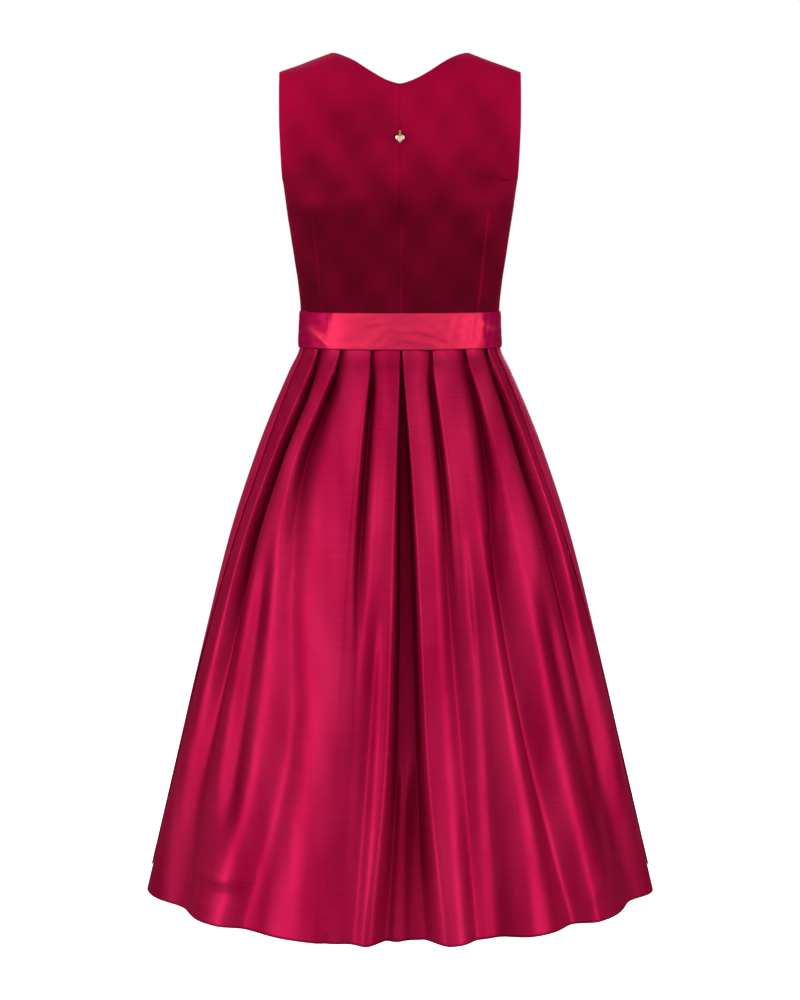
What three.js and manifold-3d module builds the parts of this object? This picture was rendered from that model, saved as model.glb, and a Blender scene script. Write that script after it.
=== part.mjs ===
// A sleeveless dirndl with its apron, filled out as it is when worn: velvet bodice, pleated satin
// skirt, satin apron with a ribbon tied in a bow, and a small heart charm at the centre back.
// Millimetres, +Z up. The front faces -Y and the wearer's left is +X. The origin lies midway
// between the shoulders, where the wearer carries the dress.
import * as THREE from "three";
import { RoundedBoxGeometry } from "three/addons/geometries/RoundedBoxGeometry.js";
import { mergeVertices } from "three/addons/utils/BufferGeometryUtils.js";
import Module from "manifold-3d";

const wasm = await Module();
wasm.setup();

// ---- Driving dimensions ------------------------------------------------------------------------

const SEAM_GAP = 0.3;
const BODICE_WALL = 2;
const SKIRT_WALL = 1.2;
const APRON_WALL = 1.2;
const RIBBON_WALL = 1.2;

// Heights of the bodice.
const NECK_POINT_Z = 12;
const SHOULDER_TIP_Z = -13;
const BLADE_Z = -85;
const UNDERARM_Z = -152;
const RIBBON_TOP_Z = -322;
const WAIST_Z = -346;
const RIBBON_BOTTOM_Z = -369;

// The shoulders, the back's V and the front's round neckline.
const NECK_POINT_X = 88;
const SHOULDER_TIP_X = 157;
const ARMHOLE_X = 155.7;
const ARMHOLE_BACK = 43;
const ARMHOLE_FRONT = 41;
const BACK_V_Z = -31;
const NECKLINE_HALF = 72;
const NECK_SHARE = 0.484; // part of the back panel's breadth that lies under the neck edge

// The bust: a soft swell of the front panels.
const BUST = { x: 80, z: -232, spreadX: 38, spreadZ: 48, swell: 28, fadeOverRibbon: 45 };

// Girth of the bodice: half width, and reach to the back and to the front, at the outside.
const bodiceStations = [
  { z: BLADE_Z, half: 176, back: 92, front: 84 },
  { z: UNDERARM_Z, half: 153.2, back: 97, front: 106 },
  { z: -190, half: 147.8, back: 96, front: 108 },
  { z: -235, half: 141, back: 93, front: 104 },
  { z: -290, half: 133, back: 91, front: 92 },
  { z: RIBBON_TOP_Z, half: 130.2, back: 92, front: 88 },
  { z: WAIST_Z, half: 131.1, back: 93.5, front: 89 },
  { z: RIBBON_BOTTOM_Z, half: 132, back: 95.5, front: 91 },
];

// Girth of the skirt at the middle of its cloth, without its folds. A low corner number squeezes
// the plan from a plain ellipse (2) towards a lens with its points at the side seams.
const WAIST_STACK = 2.4; // what the pleats need between the skirt's girth and the bodice's
const skirtStations = [
  { z: WAIST_Z, half: 128.7, back: 91.1, front: 86.6, corner: 2 },
  { z: RIBBON_BOTTOM_Z, half: 129.6, back: 93.1, front: 88.6, corner: 2 },
  { z: -400, half: 143, back: 106, front: 98, corner: 2 },
  { z: -452, half: 165.7, back: 124, front: 114, corner: 2 },
  { z: -505, half: 186.4, back: 142, front: 131, corner: 1.95 },
  { z: -611, half: 221.3, back: 173, front: 163, corner: 1.9 },
  { z: -745, half: 255.4, back: 209, front: 200, corner: 1.85 },
  { z: -906, half: 293.5, back: 252, front: 245, corner: 1.78 },
  { z: -1092, half: 337.6, back: 306, front: 296, corner: 1.75 },
];
const HEM_Z = -1092;
const APRON_HEM_Z = -1062;
const APRON_TOP_Z = -351;

// The back skirt's pleats, from the wearer's right side to the left. Crest and valley are degrees
// round from the centre back, and depth is in millimetres, each at the four fold levels. The pleats
// face the centre back, where the two middle ones meet in an inverted box pleat.
const foldLevels = [-373, -505, -745, -1092];
const backPleats = [
  { crest: [-61, -64, -70, -80], valley: [-58, -57, -62, -64], depth: [3.4, 19, 15, 27] },
  { crest: [-40, -41, -44, -47], valley: [-38, -36, -31, -40], depth: [3.4, 17, 17, 16] },
  { crest: [-19, -21, -27, -30], valley: [-17, -16, -13, -15], depth: [3.4, 15, 15, 22] },
  { crest: [-2, -6, -8, -11], valley: [0, -3, -5, -6], depth: [3.4, 24, 34, 44] },
  { crest: [1.5, 3.5, 5, 9], valley: [0, 1, 1, 4], depth: [3.4, 24, 34, 42] },
  { crest: [18, 22, 24, 22], valley: [16, 15, 15, 14], depth: [3.4, 15, 12, 8] },
  { crest: [34, 44, 46, 43], valley: [32, 37, 29, 35], depth: [3.4, 17, 11, 14] },
  { crest: [54, 64, 73, 80], valley: [52, 55, 58, 57], depth: [3.4, 20, 26, 42] },
];
const PLEAT_TUCK = 9; // how far each pleat's cloth runs back under its edge at the waist
const TUCK_START_Z = -359; // height where the pleats begin to open
const TUCK_END_Z = -430; // height where they have opened to plain folds
const TURN_PULL = 14; // roundness of the folded edges at the waist

// Softer folds of the lower skirt and of the hem: degrees at the upper and lower end, height of both
// ends, half breadth in degrees and depth. A negative depth stands out.
const lowFolds = [
  { turn: [49, 46], reach: [-640, -1010], spread: 3.5, depth: 9 },
  { turn: [7, 10], reach: [-640, -1092], spread: 2.2, depth: 9 },
  { turn: [-2, 1], reach: [-860, -1092], spread: 2.4, depth: -9 },
  { turn: [-24, -24], reach: [-560, -1092], spread: 3, depth: 11 },
  { turn: [-50, -58], reach: [-640, -1060], spread: 3.5, depth: 11 },
];

// Folds of the front skirt, which the apron over it shares: degrees from the centre front at the
// waist and at the hem, and depth at the waist and at the hem.
const frontFolds = [
  { turn: [-70, -74], depth: [1.5, 15] },
  { turn: [-54, -57], depth: [1.9, 20] },
  { turn: [-38, -38], depth: [1.5, 15] },
  { turn: [-23, -26], depth: [2, 22] },
  { turn: [-8, -9], depth: [1.6, 17] },
  { turn: [8, 8], depth: [1.5, 14] },
  { turn: [24, 25], depth: [2, 22] },
  { turn: [39, 41], depth: [1.5, 16] },
  { turn: [55, 56], depth: [1.9, 20] },
  { turn: [71, 74], depth: [1.4, 14] },
];
const FRONT_FOLD_SPREAD = 4.6;

// The apron's side edges: degrees round from the centre back at each height.
const apronEdge = [
  { z: APRON_TOP_Z, turn: 73 },
  { z: -505, turn: 70.5 },
  { z: -611, turn: 74 },
  { z: -745, turn: 81.5 },
  { z: -850, turn: 88 },
  { z: HEM_Z, turn: 88.6 },
];

// The bow, on the wearer's left of the front.
const BOW = { x: 40, z: -345, knot: [23, 13, 33], knotRound: 5.5 };
const BOW_LOOP = { reach: 74, rootHeight: 17, endHeight: 43, rootGap: 3.4, swell: 6.5, droop: 16 };
const BOW_TAIL = {
  top: -362.4,
  length: 385,
  rootHalf: 12,
  endHalf: 21.5,
  startX: 13.5,
  spread: 0.075, // sideways for each millimetre down
  slant: 14, // of the cut end
  settleFrom: -370, // between these heights it comes off the ribbon and onto the apron
  settleTo: -383,
};

// The heart charm and the little ring and thread bar that it hangs from.
const CHARM_BAR_Z = -92;
const THREAD_RADIUS = 0.45;
const THREAD_HALF_SPAN = 2.6;
const RING_RADIUS = 2.4;
const RING_WIRE = 0.4;
const CHARM_STANDOFF = 0.8; // room behind the heart, where the cloth below the bar swells out
const EYE = { hole: 0.8, rim: 1.45, thick: 1 };
const STEM = { width: 1.2, length: 2.6, middle: 2.4 };
const HEART = { width: 11.4, height: 10.4, body: 1.4, bevel: 0.7, drop: 1.2 };

// Finishes.
const VELVET = { color: 0x8c0030, roughness: 0.85, metalness: 0 };
const SKIRT_SATIN = { color: 0xb00a3c, roughness: 0.42, metalness: 0 };
const APRON_SATIN = { color: 0xb40c42, roughness: 0.4, metalness: 0 };
const RIBBON_SATIN = { color: 0xd3204f, roughness: 0.38, metalness: 0 };
const THREAD = { color: 0xa00b38, roughness: 0.8, metalness: 0 };
const PALE_GOLD = { color: 0xe6cf9c, roughness: 0.25, metalness: 1 };

// ---- Helpers -----------------------------------------------------------------------------------

const { degToRad, radToDeg, lerp, clamp, smoothstep } = THREE.MathUtils;
const QUARTER_TURN = Math.PI / 2;

// A smooth curve through a table's rows, which run downwards, with no overshoot between them.
function curveThrough(rows, read) {
  const drops = rows.map((row) => -row.z);
  const values = rows.map(read);
  const last = rows.length - 1;
  const steps = drops.slice(1).map((drop, i) => (values[i + 1] - values[i]) / (drop - drops[i]));
  const slopes = values.map((_, i) => {
    if (i === 0) return steps[0];
    if (i === last) return steps[last - 1];
    const [before, after] = [steps[i - 1], steps[i]];
    return before * after <= 0 ? 0 : (2 * before * after) / (before + after);
  });
  return (z) => {
    const drop = clamp(-z, drops[0], drops[last]);
    const i = Math.min(last - 1, Math.max(0, drops.findIndex((d) => d > drop) - 1));
    const at = drop >= drops[last] ? last - 1 : i;
    const width = drops[at + 1] - drops[at];
    const t = (drop - drops[at]) / width;
    return hermite(t, values[at], values[at + 1], slopes[at] * width, slopes[at + 1] * width);
  };
}

function hermite(t, start, end, startPull, endPull) {
  const t2 = t * t;
  const t3 = t2 * t;
  return (
    (2 * t3 - 3 * t2 + 1) * start +
    (t3 - 2 * t2 + t) * startPull +
    (3 * t2 - 2 * t3) * end +
    (t3 - t2) * endPull
  );
}

function range(count, make) {
  return Array.from({ length: count }, (_, i) => make(i));
}

// A closed cloth wall between two grids of points of the same size. Where `ring` is true the last
// column joins the first.
function wallBetween(outer, inner, ring = false) {
  const rows = outer.length;
  const columns = outer[0].length;
  const innerStart = rows * columns;
  const points = [...outer.flat(), ...inner.flat()];
  const faces = [];
  const at = (row, column) => row * columns + (column % columns);
  const under = (row, column) => innerStart + at(row, column);
  const quad = (a, b, c, d) => faces.push([a, b, c], [a, c, d]);
  const spans = ring ? columns : columns - 1;
  for (let row = 0; row < rows - 1; row += 1) {
    for (let column = 0; column < spans; column += 1) {
      quad(at(row, column), at(row, column + 1), at(row + 1, column + 1), at(row + 1, column));
      const [below, belowNext] = [under(row + 1, column), under(row + 1, column + 1)];
      quad(under(row, column), below, belowNext, under(row, column + 1));
    }
  }
  const bottom = rows - 1;
  for (let column = 0; column < spans; column += 1) {
    quad(at(0, column + 1), at(0, column), under(0, column), under(0, column + 1));
    quad(at(bottom, column), at(bottom, column + 1), under(bottom, column + 1), under(bottom, column));
  }
  if (!ring) {
    for (let row = 0; row < bottom; row += 1) {
      quad(at(row, 0), at(row + 1, 0), under(row + 1, 0), under(row, 0));
      quad(at(row + 1, spans), at(row, spans), under(row, spans), under(row + 1, spans));
    }
  }
  const volume = faces.reduce(
    (sum, [a, b, c]) => sum + points[a].dot(new THREE.Vector3().crossVectors(points[b], points[c])),
    0,
  );
  const outward = volume < 0 ? faces.map(([a, b, c]) => [a, c, b]) : faces;
  const geometry = new THREE.BufferGeometry();
  geometry.setFromPoints(points);
  geometry.setIndex(outward.flat());
  return geometry;
}

function meshOf(name, geometry, finish) {
  geometry.computeVertexNormals();
  const mesh = new THREE.Mesh(geometry, new THREE.MeshStandardMaterial(finish));
  mesh.name = name;
  return mesh;
}

function solidOf(geometry) {
  const bare = geometry.clone();
  bare.deleteAttribute("normal");
  bare.deleteAttribute("uv");
  const merged = mergeVertices(bare, 1e-4);
  return new wasm.Manifold(
    new wasm.Mesh({
      numProp: 3,
      vertProperties: merged.attributes.position.array,
      triVerts: new Uint32Array(merged.index.array),
    }),
  );
}

function geometryOf(solid) {
  const made = solid.getMesh();
  const geometry = new THREE.BufferGeometry();
  geometry.setAttribute("position", new THREE.BufferAttribute(made.vertProperties, 3));
  geometry.setIndex(new THREE.BufferAttribute(made.triVerts, 1));
  return geometry;
}

// ---- Bodice ------------------------------------------------------------------------------------

const bodiceHalf = curveThrough(bodiceStations, (row) => row.half);
const bodiceBack = curveThrough(bodiceStations, (row) => row.back);
const bodiceFront = curveThrough(bodiceStations, (row) => row.front);

// Height of the shoulder line over a place across the shoulders.
function shoulderZ(x) {
  const share = clamp((x - NECK_POINT_X) / (SHOULDER_TIP_X - NECK_POINT_X), 0, 1);
  return lerp(NECK_POINT_Z, SHOULDER_TIP_Z, share);
}

// Where the back's neck edge cuts the cap of the shoulder, as the angle over the cap.
function backNeckAngle(x) {
  const share = clamp(x / NECK_POINT_X, 0, 1);
  const eased = lerp(share, smoothstep(share, 0, 1), 0.75);
  const z = lerp(BACK_V_Z, NECK_POINT_Z, eased);
  return Math.asin(clamp((z - BLADE_Z) / (NECK_POINT_Z - BLADE_Z), 0, 1));
}

function bustSwell(x, z) {
  const dx = (x - BUST.x) / BUST.spreadX;
  const dz = (z - BUST.z) / BUST.spreadZ;
  const aboveRibbon = smoothstep(z, RIBBON_TOP_Z, RIBBON_TOP_Z + BUST.fadeOverRibbon);
  return BUST.swell * aboveRibbon * Math.exp(-dx * dx - dz * dz);
}

// A point of the bodice's outside on the wearer's left. `across` runs from the centre seam or neck
// edge (0) to the side seam or armhole (1). `rise` runs from the waist (0) by the underarm (1) and
// the shoulder blade (2) to the shoulder seam (3).
function bodicePoint(isBack, across, rise) {
  const armholeDepth = isBack ? ARMHOLE_BACK : ARMHOLE_FRONT;
  const arm = clamp(rise - 1, 0, 1) * QUARTER_TURN;
  const z = rise < 1 ? lerp(WAIST_Z, UNDERARM_Z, rise) : lerp(BLADE_Z, UNDERARM_Z, Math.cos(arm));
  const reach = isBack ? bodiceBack(z) : bodiceFront(z);
  const outerTurn = Math.acos((armholeDepth * Math.sin(arm)) / reach);
  const edgeX = lerp(bodiceHalf(UNDERARM_Z), ARMHOLE_X, clamp(rise - 1, 0, 1));
  const half = rise < 1 ? bodiceHalf(z) : edgeX / Math.sin(outerTurn);
  const innerTurn = isBack ? 0 : Math.asin((NECKLINE_HALF * Math.sin(arm)) / half);
  const turn = lerp(innerTurn, outerTurn, across);
  const x = half * Math.sin(turn);
  const swell = isBack ? 0 : bustSwell(x, z) * Math.cos(turn);
  const y = reach * Math.cos(turn) + swell;
  if (rise <= 2) return new THREE.Vector3(x, isBack ? y : -y, z);

  const cap = rise - 2;
  const topX = isBack ? (x * SHOULDER_TIP_X) / ARMHOLE_X : lerp(NECK_POINT_X, SHOULDER_TIP_X, across);
  const capX = lerp(x, topX, cap);
  const angle = cap * (isBack ? backNeckAngle(x) : QUARTER_TURN);
  const capY = y * Math.cos(angle);
  const capZ = lerp(BLADE_Z, shoulderZ(capX), Math.sin(angle));
  return new THREE.Vector3(capX, isBack ? capY : -capY, capZ);
}

// The bodice's outward direction, level with the seams where the panels meet.
function bodiceNormal(isBack, across, rise) {
  const step = 0.004;
  const [left, right] = [Math.max(0, across - step), Math.min(1, across + step)];
  const [low, high] = [Math.max(0, rise - step), Math.min(3, rise + step)];
  const acrossStep = bodicePoint(isBack, right, rise).sub(bodicePoint(isBack, left, rise));
  const riseStep = bodicePoint(isBack, across, high).sub(bodicePoint(isBack, across, low));
  const normal = new THREE.Vector3().crossVectors(acrossStep, riseStep);
  if (isBack) normal.negate();
  if (across === 0 && (isBack || rise <= 1)) normal.setX(0);
  if (across === 1 && rise <= 1) normal.setY(0);
  const onShoulder = !isBack || across >= NECK_SHARE - 1e-6;
  if (rise === 3 && onShoulder) normal.setY(0);
  return normal.normalize();
}

const RIBBON_ROWS = 2;
const LOWER_ROWS = 5;
const ARM_ROWS = 4;
const CAP_ROWS = 4;
const RIBBON_RISE = (RIBBON_TOP_Z - WAIST_Z) / (UNDERARM_Z - WAIST_Z);
const bodiceRises = [
  ...range(RIBBON_ROWS, (i) => (RIBBON_RISE * i) / RIBBON_ROWS),
  ...range(LOWER_ROWS, (i) => lerp(RIBBON_RISE, 1, i / LOWER_ROWS)),
  ...range(ARM_ROWS, (i) => 1 + i / ARM_ROWS),
  ...range(CAP_ROWS + 1, (i) => 2 + i / CAP_ROWS),
];
const NECK_COLUMNS = 5;
const SHOULDER_COLUMNS = 4;
const backColumns = [
  ...range(NECK_COLUMNS, (i) => (NECK_SHARE * i) / NECK_COLUMNS),
  ...range(SHOULDER_COLUMNS + 1, (i) => lerp(NECK_SHARE, 1, i / SHOULDER_COLUMNS)),
];
const frontColumns = range(9, (i) => i / 8);

// A bodice panel, half a seam gap away from each of its neighbours.
function bodicePanel(isBack, isLeft) {
  const side = isBack ? 1 : -1;
  const columns = isBack ? backColumns : frontColumns;
  const place = (depth) =>
    bodiceRises.map((rise) =>
      columns.map((across) => {
        const normal = bodiceNormal(isBack, across, rise);
        const point = bodicePoint(isBack, across, rise).addScaledVector(normal, -depth);
        point.x = Math.max(point.x, SEAM_GAP / 2);
        point.y = side * Math.max(side * point.y, SEAM_GAP / 2);
        return isLeft ? point : point.setX(-point.x);
      }),
    );
  const name = `bodice_${isBack ? "back" : "front"}_${isLeft ? "left" : "right"}`;
  return meshOf(name, wallBetween(place(0), place(BODICE_WALL)), VELVET);
}

// ---- Skirt and apron ---------------------------------------------------------------------------

const skirtHalf = curveThrough(skirtStations, (row) => row.half);
const skirtBack = curveThrough(skirtStations, (row) => row.back);
const skirtFront = curveThrough(skirtStations, (row) => row.front);
const skirtCorner = curveThrough(skirtStations, (row) => row.corner);

// The skirt's girth at one height, read by degrees round from the centre back (0) over the
// wearer's left side (90) to the centre front (180).
function girthAt(z) {
  const [half, back, front, corner] = [skirtHalf(z), skirtBack(z), skirtFront(z), skirtCorner(z)];
  return (turn) => {
    const sine = Math.sin(degToRad(turn));
    const toBack = Math.cos(degToRad(turn)) >= 0;
    const depth = Math.pow(Math.max(0, 1 - Math.pow(Math.abs(sine), corner)), 1 / corner);
    return new THREE.Vector2(half * sine, toBack ? back * depth : -front * depth);
  };
}

// The girth moved in by a fold's depth, as a point at a height.
function foldedPoint(girth, turn, depth, z) {
  const step = 0.5;
  const along = girth(turn + step).sub(girth(turn - step)).normalize();
  const place = girth(turn);
  return new THREE.Vector3(place.x + along.y * depth, place.y - along.x * depth, z);
}

function millimetresPerDegree(girth, turn) {
  return girth(turn + 0.5).distanceTo(girth(turn - 0.5));
}

// A smooth curve through values at the four fold levels.
function overLevels(values) {
  const rows = foldLevels.map((z, i) => ({ z, value: values[i] }));
  return curveThrough(rows, (row) => row.value);
}

const apronTurn = curveThrough(apronEdge, (row) => row.turn);
const pleatCurves = backPleats.map((pleat) => ({
  crest: overLevels(pleat.crest),
  valley: overLevels(pleat.valley),
  depth: overLevels(pleat.depth),
  facing: pleat.crest[0] < 0 ? 1 : -1,
}));

// The depth that the softer folds add at a place and height.
function lowFoldDepth(turn, z) {
  return lowFolds.reduce((sum, fold) => {
    const [top, end] = fold.reach;
    const along = (z - top) / (end - top);
    const fadeIn = smoothstep(along, 0, 0.3);
    const fadeOut = end <= HEM_Z ? 1 : 1 - smoothstep(along, 0.75, 1);
    const off = (turn - lerp(fold.turn[0], fold.turn[1], clamp(along, 0, 1))) / fold.spread;
    return sum + fold.depth * fadeIn * fadeOut * Math.exp(-off * off);
  }, 0);
}

// The folded edges and valleys round the back at one height, from the right side seam to the left.
function backKnots(z, girth) {
  const opened = smoothstep(-z, -TUCK_START_Z, -TUCK_END_Z);
  const lean = QUARTER_TURN * (1 - opened);
  const knots = [{ turn: -90, depth: 0, facing: 0, lean: 0 }];
  for (const pleat of pleatCurves) {
    const crestTurn = pleat.crest(z);
    const tuck = PLEAT_TUCK / millimetresPerDegree(girth, crestTurn);
    const tuckedTurn = crestTurn - pleat.facing * tuck;
    const crest = { turn: crestTurn, depth: 0, facing: pleat.facing, lean };
    const valleyTurn = lerp(tuckedTurn, pleat.valley(z), opened);
    const valley = { turn: valleyTurn, depth: pleat.depth(z), facing: pleat.facing, lean };
    if (pleat.facing > 0) knots.push(crest, valley);
    else knots.push(valley, crest);
  }
  knots.push({ turn: 90, depth: 0, facing: 0, lean: 0 });
  return knots;
}

// A place between two knots of a fold: degrees round and depth.
function betweenKnots(from, to, t, perDegree) {
  const chord = Math.hypot((to.turn - from.turn) * perDegree, to.depth - from.depth);
  const pull = (knot) => ({
    turn: (Math.cos(knot.lean) * chord) / perDegree,
    depth: knot.facing * Math.sin(knot.lean) * TURN_PULL,
  });
  const [start, end] = [pull(from), pull(to)];
  const most = Math.abs(to.turn - from.turn);
  return {
    turn: hermite(t, from.turn, to.turn, Math.min(start.turn, most), Math.min(end.turn, most)),
    depth: hermite(t, from.depth, to.depth, start.depth, end.depth),
  };
}

const PANEL_STEPS = [0.12, 0.35, 0.62, 0.88, 1];
const TUCK_STEPS = [0.3, 0.7, 1];
const MARGIN_SPANS = 3;
const INNER_MARGIN_SPANS = 3;

// The place at a given turn on the stretch of cloth between two knots, found by halving.
function placeAtTurn(from, to, perDegree, turn) {
  let [low, high] = [0, 1];
  for (let pass = 0; pass < 24; pass += 1) {
    const middle = (low + high) / 2;
    if (betweenKnots(from, to, middle, perDegree).turn < turn) low = middle;
    else high = middle;
  }
  return betweenKnots(from, to, high, perDegree);
}

// The back's outermost stretch on one side, from its last crest (left out) to the side seam. Its
// columns stand on both sides of the apron's edge, so that the apron can lie on them, flat.
function marginPlaces(z, girth, side) {
  const knots = backKnots(z, girth).map((knot) => ({ ...knot, lean: 0 }));
  const [from, to] = side > 0 ? knots.slice(-2) : knots.slice(0, 2);
  const perDegree = millimetresPerDegree(girth, (from.turn + to.turn) / 2);
  const crestTurn = Math.abs(side > 0 ? from.turn : to.turn);
  const edge = apronTurn(z);
  const turns = [
    ...range(INNER_MARGIN_SPANS - 1, (i) => lerp(crestTurn, edge, (i + 1) / INNER_MARGIN_SPANS)),
    ...range(MARGIN_SPANS + 1, (i) => lerp(edge, 90, i / MARGIN_SPANS)),
  ];
  return turns.map((turn) =>
    turn === 90 ? { turn: side * turn, depth: 0 } : placeAtTurn(from, to, perDegree, side * turn),
  );
}

// All places round the back at one height, in degrees and depth.
function backPlaces(z, girth) {
  const knots = backKnots(z, girth);
  const places = marginPlaces(z, girth, -1).reverse();
  knots.slice(1, -1).forEach((to, i) => {
    const from = knots[i];
    if (i === 0) {
      places.push(to);
      return;
    }
    const perDegree = millimetresPerDegree(girth, (from.turn + to.turn) / 2);
    const steps = i % 2 === 1 ? TUCK_STEPS : PANEL_STEPS;
    for (const t of steps) {
      const place = betweenKnots(from, to, t, perDegree);
      places.push({ turn: place.turn, depth: place.depth + lowFoldDepth(place.turn, z) });
    }
  });
  return [...places, ...marginPlaces(z, girth, 1)];
}

// The depth of the front folds; `turn` runs past 90 on the left and -90 on the right.
function frontDepth(turn, z) {
  const fall = clamp((WAIST_Z - z) / (WAIST_Z - HEM_Z), 0, 1);
  const away = turn > 0 ? turn - 180 : turn + 180;
  return frontFolds.reduce((sum, fold) => {
    const off = (away - lerp(fold.turn[0], fold.turn[1], fall)) / FRONT_FOLD_SPREAD;
    return sum + lerp(fold.depth[0], fold.depth[1], Math.pow(fall, 0.8)) * Math.exp(-off * off);
  }, 0);
}

const FRONT_SPANS = 46;

// All places round the front at one height, from the left side seam over the front to the right.
function frontPlaces(z) {
  return range(FRONT_SPANS + 1, (i) => {
    const turn = 90 + (180 * i) / FRONT_SPANS;
    const signed = turn > 180 ? turn - 360 : turn;
    const atSeam = i === 0 || i === FRONT_SPANS;
    return { turn, depth: atSeam ? 0 : frontDepth(signed, z) };
  });
}

// The rows of the skirt, closer together near the waist. The apron shares those between its edges.
const SKIRT_ROWS = 10;
const apronHeights = [
  APRON_TOP_Z,
  ...range(SKIRT_ROWS + 1, (i) => lerp(RIBBON_BOTTOM_Z, APRON_HEM_Z, Math.pow(i / SKIRT_ROWS, 1.4))),
];
const skirtHeights = [WAIST_Z - SEAM_GAP, ...apronHeights, HEM_Z];

// Moves a line of points across itself, in its own level plane. The ends move straight along X.
function besideLine(line, distance, endsOnSeam) {
  return line.map((point, i) => {
    const before = line[Math.max(0, i - 1)];
    const after = line[Math.min(line.length - 1, i + 1)];
    const along = new THREE.Vector2(after.x - before.x, after.y - before.y).normalize();
    const atEnd = i === 0 || i === line.length - 1;
    if (atEnd && endsOnSeam) along.set(0, Math.sign(along.y));
    return new THREE.Vector3(point.x - along.y * distance, point.y + along.x * distance, point.z);
  });
}

function skirtLine(places, z) {
  const girth = girthAt(z);
  return places.map((place) => foldedPoint(girth, place.turn, place.depth, z));
}

// A skirt panel, half a seam gap short of the side seams.
function skirtPanel(name, placesAt, side) {
  const lines = skirtHeights.map((z) => skirtLine(placesAt(z), z));
  const grid = (distance) =>
    lines.map((line) =>
      besideLine(line, distance, true).map((point) =>
        point.setY(side * Math.max(side * point.y, SEAM_GAP / 2)),
      ),
    );
  return meshOf(name, wallBetween(grid(SKIRT_WALL / 2), grid(-SKIRT_WALL / 2)), SKIRT_SATIN);
}

// The apron lies on the front skirt and on the outer margins of the back: their places, moved out.
function apronLine(z) {
  const girth = girthAt(z);
  const margin = (side) => marginPlaces(z, girth, side).slice(INNER_MARGIN_SPANS - 1, -1);
  return skirtLine([...margin(1), ...frontPlaces(z), ...margin(-1).reverse()], z);
}

function apron() {
  const lines = apronHeights.map(apronLine);
  const inside = SKIRT_WALL / 2 + SEAM_GAP;
  const grid = (distance) => lines.map((line) => besideLine(line, distance, false));
  return meshOf("apron", wallBetween(grid(inside + APRON_WALL), grid(inside)), APRON_SATIN);
}

// ---- Waist ribbon and bow ----------------------------------------------------------------------

const RIBBON_SPANS = 60;
const ribbonHeights = [RIBBON_TOP_Z, WAIST_Z, RIBBON_BOTTOM_Z];

// A level ring at a distance outside the bodice's girth.
function girthRing(z, distance) {
  const [half, back, front] = [bodiceHalf(z), bodiceBack(z), bodiceFront(z)];
  return range(RIBBON_SPANS, (i) => {
    const turn = (2 * Math.PI * i) / RIBBON_SPANS;
    const reach = Math.cos(turn) >= 0 ? back : front;
    const out = new THREE.Vector3(Math.sin(turn) * reach, Math.cos(turn) * half, 0).normalize();
    const place = new THREE.Vector3(half * Math.sin(turn), reach * Math.cos(turn), z);
    return place.addScaledVector(out, distance);
  });
}

function waistRibbon() {
  const grid = (distance) => ribbonHeights.map((z) => girthRing(z, distance));
  const wall = wallBetween(grid(SEAM_GAP + RIBBON_WALL), grid(SEAM_GAP), true);
  return meshOf("waist_ribbon", wall, RIBBON_SATIN);
}

// The bow's own frame on the ribbon: x along it to the wearer's left, y into the body, z up.
function bowFrame() {
  const knotFoot = BOW.z - BOW.knot[2] / 2;
  const reach = bodiceFront(knotFoot);
  const half = bodiceHalf(knotFoot);
  const turn = Math.asin(BOW.x / half);
  const out = new THREE.Vector3(Math.sin(turn) * reach, -Math.cos(turn) * half, 0).normalize();
  const place = new THREE.Vector3(BOW.x, -reach * Math.cos(turn), BOW.z);
  place.addScaledVector(out, 2 * SEAM_GAP + RIBBON_WALL);
  const group = new THREE.Group();
  group.position.copy(place);
  group.rotation.z = Math.atan2(out.x, -out.y);
  return group;
}

function bowKnot() {
  const [width, thick, height] = BOW.knot;
  const geometry = new RoundedBoxGeometry(width, thick, height, 2, BOW.knotRound);
  const mesh = meshOf("bow_knot", geometry, RIBBON_SATIN);
  mesh.position.y = -thick / 2;
  return mesh;
}

const LOOP_SPANS = 16;
const LOOP_HEIGHT_SPANS = 4;

// A loop: the ribbon runs out from the knot, turns and comes back in front of itself.
function bowLoop(name, side) {
  const root = BOW.knot[0] / 2 + SEAM_GAP;
  const middle = -BOW.knot[1] / 2;
  const centre = (t) => {
    const out = Math.sin(Math.PI * t);
    const open = BOW_LOOP.rootGap + BOW_LOOP.swell * out;
    return new THREE.Vector2(root + BOW_LOOP.reach * out, middle + open * Math.cos(Math.PI * t));
  };
  const grid = (distance) =>
    range(LOOP_SPANS + 1, (i) => {
      const t = i / LOOP_SPANS;
      const along = centre(Math.min(1, t + 0.01)).sub(centre(Math.max(0, t - 0.01))).normalize();
      const place = centre(t);
      place.x = Math.max(root, place.x + along.y * distance);
      place.y -= along.x * distance;
      const out = Math.sin(Math.PI * t);
      const height = lerp(BOW_LOOP.rootHeight, BOW_LOOP.endHeight, Math.pow(out, 0.6));
      return range(LOOP_HEIGHT_SPANS + 1, (j) => {
        const up = (j / LOOP_HEIGHT_SPANS - 0.5) * height;
        return new THREE.Vector3(side * place.x, place.y, up - BOW_LOOP.droop * out * out);
      });
    });
  return meshOf(name, wallBetween(grid(RIBBON_WALL / 2), grid(-RIBBON_WALL / 2)), RIBBON_SATIN);
}

const TAIL_SPANS = 12;
const TAIL_BREADTH_SPANS = 3;

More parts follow.
